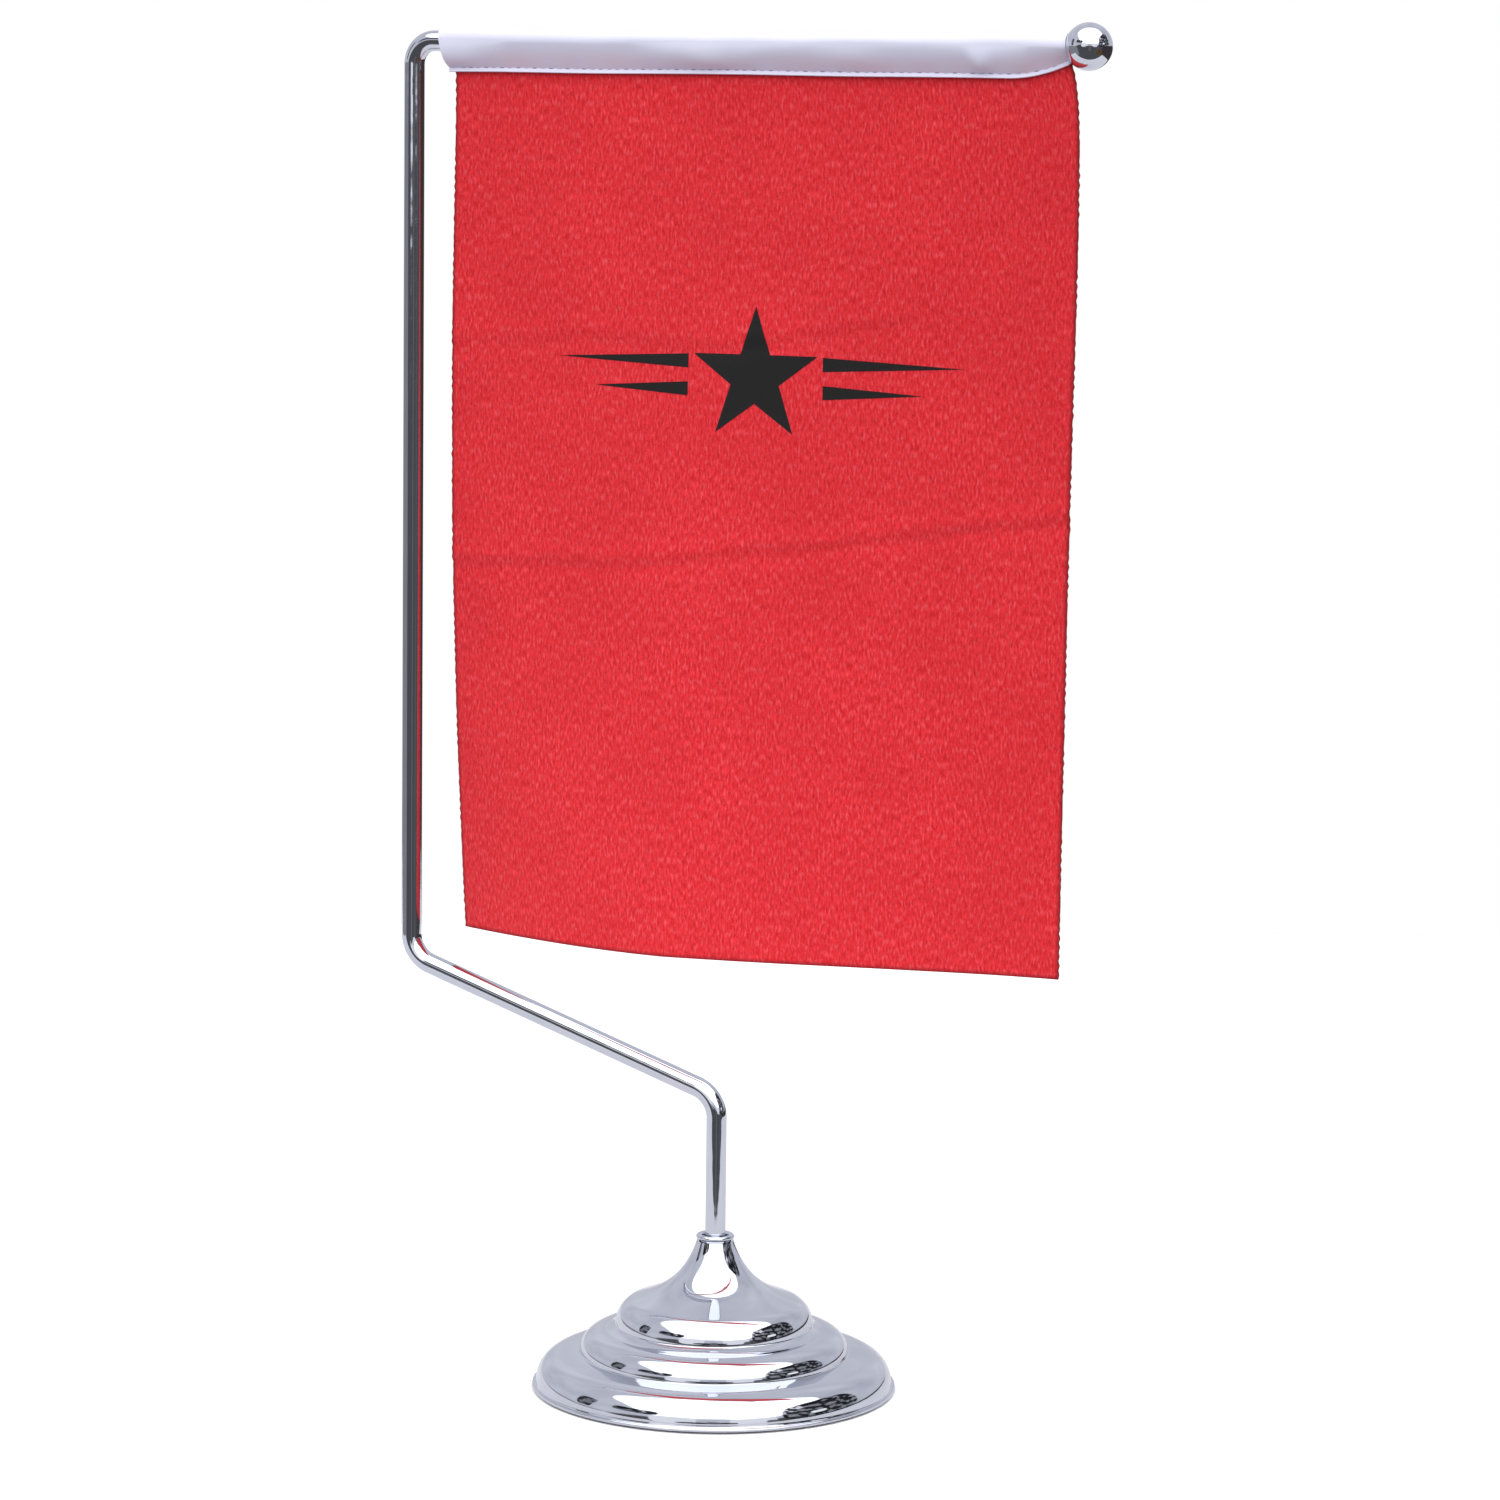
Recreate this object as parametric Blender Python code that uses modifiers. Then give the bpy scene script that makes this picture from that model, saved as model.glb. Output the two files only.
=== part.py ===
"""Desk flag stand: a stepped round base, a bent pole held in a socket, and a flag sleeved on its rod.

Units are metres and +Z is up. The origin is the centre of the foot pad's rest face. The pole bends in
the XZ plane, the flag hangs in that plane, and its printed side faces -Y.
"""

import math

import bmesh
import bpy
from mathutils import Vector

MM = 0.001

# Base: a spun shell of three rounded tiers under a flared neck, with a rolled rim.
BASE_RADIUS = 40.0 * MM
RIM_PROUD = 0.7 * MM
RIM_TOP = 1.25 * MM
RIM_ABOVE_DESK = 0.5 * MM
SHELL_WALL = 0.6 * MM
TREAD_1 = 9.6 * MM
TREAD_2 = 7.9 * MM
TIER_1_FOOT = 1.8 * MM
TIER_1_WIDTH = 7.6 * MM
TIER_1_RISE = 5.9 * MM
TIER_2_FOOT = 8.6 * MM
TIER_2_WIDTH = 7.1 * MM
TIER_2_RISE = 4.6 * MM
TIER_3_FOOT = 14.6 * MM
TIER_3_WIDTH = 8.2 * MM
TIER_3_RISE = 6.0 * MM
NECK_TOP = 33.0 * MM
TIER_1_ARC = (82, 0)
TIER_2_ARC = (84, -8)
TIER_3_ARC = (58, -8)
FLARE_SPREAD = 0.217
FLARE_DROP = 0.75
FLARE_LEAN = (4.4 * MM, 1.7 * MM)

# Pole: one bent tube. Heights and reaches are those of its centre line.
POLE_DIAMETER = 4.5 * MM
POLE_WALL = 0.6 * MM
ARM_REACH = 75.7 * MM
ARM_LOW_Z = 65.3 * MM
ARM_HIGH_Z = 90.3 * MM
ROD_Z = 293.6 * MM
LOW_BEND_RADIUS = 7.0 * MM
TOP_BEND_RADIUS = 5.0 * MM

# Socket: the flanged tube that holds the pole and clamps the base together.
BUSH_WALL = 0.35 * MM
SOCKET_WALL = 0.4 * MM
SOCKET_LIP = 0.95 * MM
SOCKET_LIP_HEIGHT = 1.2 * MM
SOCKET_BOTTOM = 4.3 * MM
SOCKET_FLOOR = 1.7 * MM

# Ballast, its fasteners and the closing plate.
WEIGHT_BOTTOM = 3.0 * MM
WEIGHT_CHAMFER = 0.5 * MM
LAND_INSET = 0.6 * MM
LAND_WIDTH = 4.0 * MM
LAND_SLOPE = 1.1 * MM
FOOT_OUTSET = 2.6 * MM
FOOT_DROP = 1.7 * MM
HUB_INSET = 3.8 * MM
HUB_RISE = 2.4 * MM
RECESS_RADIUS = 9.0 * MM
RECESS_HEIGHT = 6.2 * MM
NUT_ACROSS_CORNERS = 11.5 * MM
NUT_HEIGHT = 2.6 * MM
WASHER_RADIUS = 6.5 * MM
WASHER_THICKNESS = 0.8 * MM
LOCK_WASHER_RADIUS = 5.2 * MM
PLATE_THICKNESS = 0.6 * MM
PAD_THICKNESS = 1.1 * MM
PAD_INSET = 0.6 * MM

# Nylon plug in the pole's foot: a head that stands under the tube and a stem inside it.
PLUG_HEAD_INSET = 0.05 * MM
PLUG_HEAD_HEIGHT = 1.0 * MM
PLUG_HEAD_CHAMFER = 0.2 * MM
PLUG_STEM_LENGTH = 7.0 * MM
PLUG_NOSE = (0.3 * MM, 0.6 * MM)

# Finial: a ball screwed on a stud in the rod's end.
BALL_DIAMETER = 10.0 * MM
BALL_CENTRE_X = 81.5 * MM
BALL_SEAT_RADIUS = 2.6 * MM
STUD_RADIUS = 1.0 * MM
STUD_IN_BALL = 5.5 * MM
STUD_IN_ROD = 8.0 * MM
STUD_CHAMFER = 0.3 * MM
INSERT_LENGTH = 10.0 * MM

# Flag: the cloth panel, and the sleeve that carries it on the rod.
SLEEVE_LENGTH = 145.4 * MM
SLEEVE_END_GAP = 0.5 * MM
SLEEVE_WALL = 0.6 * MM
SLEEVE_DROP = 7.0 * MM
PANEL_LEFT_X = -64.9 * MM
PANEL_RIGHT_X = 80.2 * MM
PANEL_BOTTOM_Z = 96.4 * MM
PANEL_THICKNESS = 0.9 * MM
PANEL_COLUMNS = 18
PANEL_ROWS = 16
PANEL_CORNER_DROP = 5.0 * MM
LEFT_EDGE_BOW = 8.06 * MM
LEFT_EDGE_TURN = 1.15
RIGHT_EDGE_DRAW = 4.0 * MM
PANEL_BELLY = 14.5 * MM
BELLY_GROWTH = 1.2
BELLY_SKEW = 0.91
BELLY_PEAK = 0.39
BELLY_FADE = 0.77
BELLY_MEAN = 0.544
THREAD_RADIUS = 0.15 * MM
THREAD_ABOVE_EDGE = 1.2 * MM
THREAD_END_INSET = 1.0 * MM
THREAD_STAND_OFF = 0.1 * MM

# Clearances: between parts that rest on each other, parts that turn or slide, and snug parts.
REST_GAP = 0.3 * MM
RUNNING_GAP = 0.15 * MM
HIDDEN_CLEARANCE = 0.2 * MM

POLE_RADIUS = POLE_DIAMETER / 2
POLE_BORE = POLE_RADIUS - POLE_WALL
BUSH_INNER = POLE_RADIUS + RUNNING_GAP
BUSH_OUTER = BUSH_INNER + BUSH_WALL
SOCKET_INNER = BUSH_OUTER + RUNNING_GAP
SOCKET_OUTER = SOCKET_INNER + SOCKET_WALL
NECK_RADIUS = SOCKET_OUTER + HIDDEN_CLEARANCE + SHELL_WALL
TIER_1_RADIUS = BASE_RADIUS - RIM_PROUD
TIER_2_RADIUS = TIER_1_RADIUS - TREAD_1
TIER_3_RADIUS = TIER_2_RADIUS - TREAD_2
SOCKET_LIP_Z = NECK_TOP + REST_GAP
SOCKET_FLOOR_Z = SOCKET_BOTTOM + SOCKET_FLOOR
SEAT_X = BALL_CENTRE_X - math.sqrt((BALL_DIAMETER / 2) ** 2 - BALL_SEAT_RADIUS ** 2)
ROD_END_X = SEAT_X - REST_GAP
INSERT_OUTER = POLE_BORE - RUNNING_GAP
THREAD_BORE = STUD_RADIUS + RUNNING_GAP


def start_scene():
    """Clear the scene and make one collection for the parts and one for the cutters."""
    for obj in list(bpy.data.objects):
        bpy.data.objects.remove(obj, do_unlink=True)
    made = []
    for name in ("desk_flag_stand", "cutters"):
        collection = bpy.data.collections.new(name)
        bpy.context.scene.collection.children.link(collection)
        made.append(collection)
    return made


PARTS, CUTTERS = start_scene()


def principled(name, colour, roughness, metallic=0.0):
    """A plain Principled material."""
    material = bpy.data.materials.new(name)
    material.use_nodes = True
    shader = material.node_tree.nodes["Principled BSDF"]
    shader.inputs["Base Color"].default_value = (*colour, 1.0)
    shader.inputs["Roughness"].default_value = roughness
    shader.inputs["Metallic"].default_value = metallic
    material.diffuse_color = (*colour, 1.0)
    return material


CHROME = principled("chrome_plate", (0.86, 0.87, 0.90), 0.05, 1.0)
CAST_IRON = principled("cast_iron", (0.09, 0.09, 0.09), 0.7, 0.6)
ZINC = principled("zinc_plated_steel", (0.62, 0.63, 0.64), 0.3, 1.0)
BRASS = principled("brass", (0.78, 0.57, 0.25), 0.3, 1.0)
NYLON = principled("nylon", (0.80, 0.79, 0.74), 0.5)
FELT = principled("black_felt", (0.02, 0.02, 0.02), 0.95)
RED_CLOTH = principled("red_cloth", (0.72, 0.03, 0.04), 0.9)
SATIN = principled("white_satin", (0.82, 0.81, 0.86), 0.45)
THREAD = principled("white_thread", (0.85, 0.85, 0.88), 0.7)


def add_part(name, data, material, axis_x=None):
    """Link an object; axis_x lays a part turned about Z along the rod, at that distance along it."""
    obj = bpy.data.objects.new(name, data)
    PARTS.objects.link(obj)
    data.materials.append(material)
    if axis_x is not None:
        obj.location = (axis_x, 0.0, ROD_Z)
        obj.rotation_euler = (0.0, math.pi / 2, 0.0)
    return obj


def turned(name, profile, material, closed=False, steps=36, axis_x=None):
    """Turn a profile of (radius, height) points about Z. It runs down its outer side."""
    mesh = bpy.data.meshes.new(name)
    points = [(radius, 0.0, height) for radius, height in profile]
    edges = [(i, i + 1) for i in range(len(points) - 1)]
    if closed:
        edges.append((len(points) - 1, 0))
    mesh.from_pydata(points, edges, [])
    obj = add_part(name, mesh, material, axis_x)
    screw = obj.modifiers.new("turn", "SCREW")
    screw.steps = steps
    screw.render_steps = steps
    screw.use_merge_vertices = True
    screw.merge_threshold = 0.01 * MM
    return obj


def tube(name, inner, outer, bottom, top, material, steps=32, axis_x=None):
    """A plain round tube about Z."""
    profile = [(inner, top), (outer, top), (outer, bottom), (inner, bottom)]
    return turned(name, profile, material, closed=True, steps=steps, axis_x=axis_x)


def arc(centre, semi_r, semi_z, start, end, count):
    """Points along an elliptical arc, with its angles in degrees from +R towards +Z."""
    points = []
    for i in range(count + 1):
        angle = math.radians(start + (end - start) * i / count)
        points.append((centre[0] + semi_r * math.cos(angle), centre[1] + semi_z * math.sin(angle)))
    return points


def bezier(p0, p1, p2, p3, count):
    """Points inside and at the end of a cubic Bezier curve."""
    points = []
    for i in range(1, count + 1):
        t = i / count
        weights = ((1 - t) ** 3, 3 * (1 - t) ** 2 * t, 3 * (1 - t) * t * t, t ** 3)
        points.append(tuple(sum(w * p[k] for w, p in zip(weights, (p0, p1, p2, p3))) for k in (0, 1)))
    return points


def base_shell():
    """The chromed shell: neck, three rounded tiers and a rim that is rolled down."""
    crown = TIER_3_RADIUS - TIER_3_WIDTH
    tier_3 = arc((crown, TIER_3_FOOT), TIER_3_WIDTH, TIER_3_RISE, *TIER_3_ARC, 7)
    top_r, top_z = tier_3[0]
    spread = NECK_RADIUS + (top_r - NECK_RADIUS) * FLARE_SPREAD
    # The flare leaves the neck straight down and meets the top tier's slope.
    flare = bezier(
        (NECK_RADIUS, NECK_TOP),
        (spread, NECK_TOP - (NECK_TOP - top_z) * FLARE_DROP),
        (top_r - FLARE_LEAN[0], top_z + FLARE_LEAN[1]),
        (top_r, top_z),
        10,
    )
    profile = [(NECK_RADIUS, NECK_TOP)] + flare[:-1] + tier_3
    middle_2 = (TIER_2_RADIUS - TIER_2_WIDTH, TIER_2_FOOT)
    profile += arc(middle_2, TIER_2_WIDTH, TIER_2_RISE, *TIER_2_ARC, 7)
    middle_1 = (TIER_1_RADIUS - TIER_1_WIDTH, TIER_1_FOOT)
    profile += arc(middle_1, TIER_1_WIDTH, TIER_1_RISE, *TIER_1_ARC, 7)
    profile += [
        (TIER_1_RADIUS + 0.1 * RIM_PROUD, RIM_TOP + 0.4 * MM),
        (TIER_1_RADIUS + 0.4 * RIM_PROUD, RIM_TOP + 0.1 * MM),
        (BASE_RADIUS - 0.2 * RIM_PROUD, RIM_TOP),
        (BASE_RADIUS, RIM_TOP - 0.2 * MM),
        (BASE_RADIUS, RIM_ABOVE_DESK),
    ]
    shell = turned("base_shell", profile, CHROME, steps=36)
    wall = shell.modifiers.new("wall", "SOLIDIFY")
    wall.thickness = SHELL_WALL
    wall.offset = -1.0
    wall.use_even_offset = True


def base_weight():
    """The cast ballast: a stepped disc whose land lies under the middle tier's tread."""
    bore = SOCKET_OUTER + HIDDEN_CLEARANCE
    land_z = TIER_2_FOOT + TIER_2_RISE - SHELL_WALL - REST_GAP
    land_r = TIER_2_RADIUS - TIER_2_WIDTH - LAND_INSET
    foot_r = TIER_1_RADIUS - TIER_1_WIDTH + FOOT_OUTSET
    foot_z = TIER_1_FOOT + TIER_1_RISE - FOOT_DROP
    shoulder_r = land_r + LAND_WIDTH
    hub_r = TIER_3_RADIUS - HUB_INSET
    hub_z = TIER_3_FOOT + HUB_RISE
    recess_z = WEIGHT_BOTTOM + RECESS_HEIGHT
    profile = [
        (bore, hub_z),
        (hub_r - WEIGHT_CHAMFER, hub_z),
        (hub_r, hub_z - WEIGHT_CHAMFER),
        (hub_r, land_z),
        (land_r, land_z),
        (shoulder_r, land_z - LAND_SLOPE),
        (shoulder_r, foot_z),
        (foot_r - WEIGHT_CHAMFER, foot_z),
        (foot_r, foot_z - WEIGHT_CHAMFER),
        (foot_r, WEIGHT_BOTTOM),
        (RECESS_RADIUS, WEIGHT_BOTTOM),
        (RECESS_RADIUS, recess_z),
        (bore, recess_z),
    ]
    turned("base_weight", profile, CAST_IRON, closed=True)


def socket_tube():
    """The flanged cup: its rolled lip sits on the neck, and the nut pulls on its lower end."""
    lip_r = SOCKET_OUTER + SOCKET_LIP
    lip_mid = (SOCKET_INNER + lip_r) / 2
    half = (lip_r - SOCKET_INNER) / 2
    lip_z = SOCKET_LIP_Z + SOCKET_LIP_HEIGHT / 2
    profile = [(0.0, SOCKET_FLOOR_Z), (SOCKET_INNER, SOCKET_FLOOR_Z)]
    profile += arc((lip_mid, lip_z), half, SOCKET_LIP_HEIGHT / 2, 180, -90, 10)
    profile += [(SOCKET_OUTER, SOCKET_LIP_Z), (SOCKET_OUTER, SOCKET_BOTTOM), (0.0, SOCKET_BOTTOM)]
    turned("socket_tube", profile, CHROME, steps=32)


def base_fasteners():
    """The washer, lock washer and nut that clamp shell, ballast and socket together."""
    bore = SOCKET_OUTER + RUNNING_GAP
    top = WEIGHT_BOTTOM + RECESS_HEIGHT - REST_GAP
    tube("clamp_washer", bore, WASHER_RADIUS, top - WASHER_THICKNESS, top, ZINC)
    top -= WASHER_THICKNESS + REST_GAP
    tube("lock_washer", bore, LOCK_WASHER_RADIUS, top - WASHER_THICKNESS, top, ZINC)
    top -= WASHER_THICKNESS + REST_GAP
    bpy.ops.mesh.primitive_cylinder_add(vertices=32, radius=bore, depth=2 * NUT_HEIGHT)
    cutter = bpy.context.object
    cutter.name = "nut_bore"
    cutter.location = (0.0, 0.0, top - NUT_HEIGHT / 2)
    cutter.hide_render = True
    cutter.display_type = "WIRE"
    for collection in list(cutter.users_collection):
        collection.objects.unlink(cutter)
    CUTTERS.objects.link(cutter)
    form = bmesh.new()
    bmesh.ops.create_cone(
        form,
        cap_ends=True,
        segments=6,
        radius1=NUT_ACROSS_CORNERS / 2,
        radius2=NUT_ACROSS_CORNERS / 2,
        depth=NUT_HEIGHT,
    )
    mesh = bpy.data.meshes.new("clamp_nut")
    form.to_mesh(mesh)
    form.free()
    nut = add_part("clamp_nut", mesh, ZINC)
    nut.location = (0.0, 0.0, top - NUT_HEIGHT / 2)
    cut = nut.modifiers.new("bore", "BOOLEAN")
    cut.operation = "DIFFERENCE"
    cut.object = cutter


def base_closing():
    """The steel plate that closes the base, and the felt pad that it stands on."""
    radius = BASE_RADIUS - RIM_PROUD - SHELL_WALL - 2 * REST_GAP
    plate_bottom = PAD_THICKNESS + REST_GAP
    plate = [
        (0.0, plate_bottom + PLATE_THICKNESS),
        (radius, plate_bottom + PLATE_THICKNESS),
        (radius, plate_bottom),
        (0.0, plate_bottom),
    ]
    turned("bottom_plate", plate, ZINC)
    pad_radius = radius - PAD_INSET
    pad = [(0.0, PAD_THICKNESS), (pad_radius, PAD_THICKNESS), (pad_radius, 0.0), (0.0, 0.0)]
    turned("foot_pad", pad, FELT)


def pole_bush():
    """The nylon bush that lines the socket. It turns in the socket with the pole."""
    tube("pole_bush", BUSH_INNER, BUSH_OUTER, SOCKET_FLOOR_Z + REST_GAP, NECK_TOP - REST_GAP, NYLON)


def bend(before, corner, after, radius, count):
    """Points along the arc that rounds a corner in the XZ plane."""
    corner = Vector(corner)
    legs = [(Vector(end) - corner).normalized() for end in (before, after)]
    between = legs[0].angle(legs[1])
    setback = radius / math.tan(between / 2)
    centre = corner + (legs[0] + legs[1]).normalized() * (radius / math.sin(between / 2))
    first, last = (corner + leg * setback - centre for leg in legs)
    start = math.atan2(first.y, first.x)
    turn = (math.atan2(last.y, last.x) - start + math.pi) % (2 * math.pi) - math.pi
    points = []
    for i in range(count + 1):
        angle = start + turn * i / count
        points.append((centre.x + radius * math.cos(angle), centre.y + radius * math.sin(angle)))
    return points


def poly_curve(name, points, radius, resolution, caps):
    """A round wire or tube along a run of straight steps between points."""
    curve = bpy.data.curves.new(name, "CURVE")
    curve.dimensions = "3D"
    curve.bevel_depth = radius
    curve.bevel_resolution = resolution
    curve.use_fill_caps = caps
    spline = curve.splines.new("POLY")
    spline.points.add(len(points) - 1)
    for point, place in zip(spline.points, points):
        point.co = (*place, 1.0)
    return curve


def pole():
    """The pole: up from the socket, out along a sloping arm, up again and back along the rod."""
    foot_z = SOCKET_FLOOR_Z + REST_GAP + PLUG_HEAD_HEIGHT + REST_GAP
    foot = (0.0, foot_z)
    low = (0.0, ARM_LOW_Z)
    high = (-ARM_REACH, ARM_HIGH_Z)
    top = (-ARM_REACH, ROD_Z)
    end = (ROD_END_X, ROD_Z)
    route = [foot]
    route += bend(foot, low, high, LOW_BEND_RADIUS, 8)
    route += bend(low, high, top, LOW_BEND_RADIUS, 8)
    route += bend(high, top, end, TOP_BEND_RADIUS, 10)
    route.append(end)
    curve = poly_curve("pole", [(x, 0.0, z) for x, z in route], POLE_RADIUS, 8, False)
    tube_wall = add_part("pole", curve, CHROME).modifiers.new("wall", "SOLIDIFY")
    tube_wall.thickness = POLE_WALL
    tube_wall.offset = -1.0


def pole_fittings():
    """The nylon plug in the pole's foot and the brass insert in the rod's end."""
    stem = POLE_BORE - RUNNING_GAP
    head = POLE_RADIUS - PLUG_HEAD_INSET
    bottom = SOCKET_FLOOR_Z + REST_GAP
    head_top = bottom + PLUG_HEAD_HEIGHT
    stem_top = head_top + PLUG_STEM_LENGTH
    profile = [
        (0.0, stem_top),
        (stem - PLUG_NOSE[0], stem_top),
        (stem, stem_top - PLUG_NOSE[1]),
        (stem, head_top),
        (head, head_top),
        (head, bottom + PLUG_HEAD_CHAMFER),
        (head - PLUG_HEAD_CHAMFER, bottom),
        (0.0, bottom),
    ]
    turned("pole_foot_plug", profile, NYLON, steps=24)
    tube("rod_insert", THREAD_BORE, INSERT_OUTER, -INSERT_LENGTH, 0.0, BRASS, steps=24, axis_x=ROD_END_X)


def finial():
    """The ball and the stud that it turns on."""
    radius = BALL_DIAMETER / 2
    seat = SEAT_X - BALL_CENTRE_X
    seat_angle = math.degrees(math.asin(seat / radius))
    bore_end = seat + STUD_IN_BALL + REST_GAP
    profile = arc((0.0, 0.0), radius, radius, 90, seat_angle, 16)
    profile[0] = (0.0, radius)
    profile += [(THREAD_BORE, seat), (THREAD_BORE, bore_end), (0.0, bore_end)]
    turned("finial_ball", profile, CHROME, steps=28, axis_x=BALL_CENTRE_X)
    stud = [
        (0.0, STUD_IN_BALL),
        (STUD_RADIUS - STUD_CHAMFER, STUD_IN_BALL),
        (STUD_RADIUS, STUD_IN_BALL - STUD_CHAMFER),
        (STUD_RADIUS, -STUD_IN_ROD + STUD_CHAMFER),
        (STUD_RADIUS - STUD_CHAMFER, -STUD_IN_ROD),
        (0.0, -STUD_IN_ROD),
    ]
    turned("finial_stud", stud, ZINC, steps=24, axis_x=SEAT_X)


def sleeve():
    """The satin sleeve: one strip folded over the rod, with its two legs on either side of the panel."""
    inner = POLE_RADIUS + REST_GAP
    outer = inner + SLEEVE_WALL
    leg_in = PANEL_THICKNESS / 2 + REST_GAP
    leg_out = leg_in + SLEEVE_WALL
    inner_start = math.degrees(math.acos(leg_in / inner))
    outer_start = math.degrees(math.acos(leg_out / outer))
    outline = [(leg_out, -SLEEVE_DROP)]
    outline += arc((0.0, 0.0), outer, outer, -outer_start, 180 + outer_start, 20)
    outline += [(-leg_out, -SLEEVE_DROP), (-leg_in, -SLEEVE_DROP)]
    outline += arc((0.0, 0.0), inner, inner, 180 + inner_start, -inner_start, 20)
    outline += [(leg_in, -SLEEVE_DROP)]
    curve = bpy.data.curves.new("sleeve", "CURVE")
    curve.dimensions = "2D"
    curve.fill_mode = "BOTH"
    curve.extrude = SLEEVE_LENGTH / 2
    spline = curve.splines.new("POLY")
    spline.points.add(len(outline) - 1)
    spline.use_cyclic_u = True
    for point, place in zip(spline.points, outline):
        point.co = (*place, 0.0, 1.0)
    strip = add_part("sleeve", curve, SATIN)
    strip.location = (ROD_END_X - SLEEVE_END_GAP - SLEEVE_LENGTH / 2, 0.0, ROD_Z)
    strip.rotation_euler = (math.pi / 2, 0.0, math.pi / 2)


def flag_panel():
    """The cloth: it hangs from inside the sleeve, swells forward low down, and its edges draw in there."""
    top = ROD_Z - POLE_RADIUS - 2 * REST_GAP
    inside = SLEEVE_DROP / (top - PANEL_BOTTOM_Z)
    form = bmesh.new()
    bmesh.ops.create_grid(form, x_segments=PANEL_COLUMNS, y_segments=PANEL_ROWS, size=0.5)
    for vert in form.verts:
        across = vert.co.x + 0.5
        down = 0.5 - vert.co.y
        left = PANEL_LEFT_X - LEFT_EDGE_BOW * down * (LEFT_EDGE_TURN - down)
        right = PANEL_RIGHT_X - RIGHT_EDGE_DRAW * down
        fade = 1.0 - BELLY_FADE * max(across - BELLY_PEAK, 0.0) / (1.0 - BELLY_PEAK)
        swell = fade * math.sin(math.pi * across ** BELLY_SKEW)
        # The swell is taken from its mean, so the cloth's weight stays below the rod.
        depth = PANEL_BELLY * max(down - inside, 0.0) ** BELLY_GROWTH * (BELLY_MEAN - swell)
        # The last column is cut down to clear the ball.
        column_top = top - PANEL_CORNER_DROP if across > 1.0 - 0.5 / PANEL_COLUMNS else top
        vert.co = (
            left + (right - left) * across,
            depth,
            column_top + (PANEL_BOTTOM_Z - column_top) * down,
        )
    mesh = bpy.data.meshes.new("flag_panel")
    bmesh.ops.recalc_face_normals(form, faces=form.faces)
    form.to_mesh(mesh)
    form.free()
    cloth = add_part("flag_panel", mesh, RED_CLOTH).modifiers.new("cloth", "SOLIDIFY")
    cloth.thickness = PANEL_THICKNESS
    cloth.offset = 0.0


def seam_threads():
    """The stitched row that closes the sleeve, as one thread on each side."""
    away = PANEL_THICKNESS / 2 + REST_GAP + SLEEVE_WALL + THREAD_RADIUS + THREAD_STAND_OFF
    height = ROD_Z - SLEEVE_DROP + THREAD_ABOVE_EDGE
    end_x = ROD_END_X - SLEEVE_END_GAP - THREAD_END_INSET
    start_x = ROD_END_X - SLEEVE_END_GAP - SLEEVE_LENGTH + THREAD_END_INSET
    for name, side in (("seam_thread_front", -1), ("seam_thread_back", 1)):
        ends = [(start_x, side * away, height), (end_x, side * away, height)]
        add_part(name, poly_curve(name, ends, THREAD_RADIUS, 2, True), THREAD)


def shade_round_parts():
    """Smooth shading on the parts that are meshes; a curve's tube is smooth already."""
    for obj in PARTS.objects:
        if obj.type == "MESH":
            obj.data.shade_smooth()


base_shell()
base_weight()
socket_tube()
base_fasteners()
base_closing()
pole_bush()
pole()
pole_fittings()
finial()
sleeve()
flag_panel()
seam_threads()
shade_round_parts()
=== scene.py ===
import math

import bmesh
import bpy
from mathutils import Matrix, Vector, noise


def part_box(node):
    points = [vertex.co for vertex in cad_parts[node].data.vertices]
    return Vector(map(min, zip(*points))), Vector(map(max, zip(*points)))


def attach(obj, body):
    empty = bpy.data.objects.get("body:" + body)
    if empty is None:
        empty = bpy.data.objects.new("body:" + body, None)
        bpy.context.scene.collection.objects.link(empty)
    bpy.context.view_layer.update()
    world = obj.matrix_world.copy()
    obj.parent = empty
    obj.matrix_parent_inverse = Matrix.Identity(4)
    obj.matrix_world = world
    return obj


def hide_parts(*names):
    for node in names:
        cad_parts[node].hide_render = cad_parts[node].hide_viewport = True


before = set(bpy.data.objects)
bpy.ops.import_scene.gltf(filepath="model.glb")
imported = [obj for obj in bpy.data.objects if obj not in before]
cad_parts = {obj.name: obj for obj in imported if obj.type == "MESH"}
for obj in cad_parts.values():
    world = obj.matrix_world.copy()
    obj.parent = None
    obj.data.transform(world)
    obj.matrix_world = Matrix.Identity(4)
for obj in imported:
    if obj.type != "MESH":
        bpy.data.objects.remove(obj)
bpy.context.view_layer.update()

MM = 0.001


# Base shell: sheet steel spun into three rounded steps under a flared neck, its foot turned out
# into a narrow flat rim. Buffed and chrome plated, so it mirrors the room in soft, wavy bands.
def linear(hex_colour):
    """An sRGB hex colour as linear red, green, blue and alpha."""
    parts = [int(hex_colour[i:i + 2], 16) / 255 for i in (0, 2, 4)]
    return (*[v / 12.92 if v <= 0.04045 else ((v + 0.055) / 1.055) ** 2.4 for v in parts], 1.0)


def add_node(tree, kind, inputs=(), **settings):
    """Add a node; inputs maps a socket's name or number to a value or to the socket that feeds it."""
    node = tree.nodes.new(kind)
    for name, value in settings.items():
        setattr(node, name, value)
    for socket, value in dict(inputs).items():
        if isinstance(value, bpy.types.NodeSocket):
            tree.links.new(value, node.inputs[socket])
        else:
            node.inputs[socket].default_value = value
    return node


def finish_of(name, **constants):
    """A new material's node tree and shader, with the shader's constant sockets set."""
    material = bpy.data.materials.new(name)
    material.use_nodes = True
    shader = material.node_tree.nodes["Principled BSDF"]
    for socket, value in constants.items():
        shader.inputs[socket.replace("_", " ")].default_value = value
    return material, material.node_tree, shader


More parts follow.
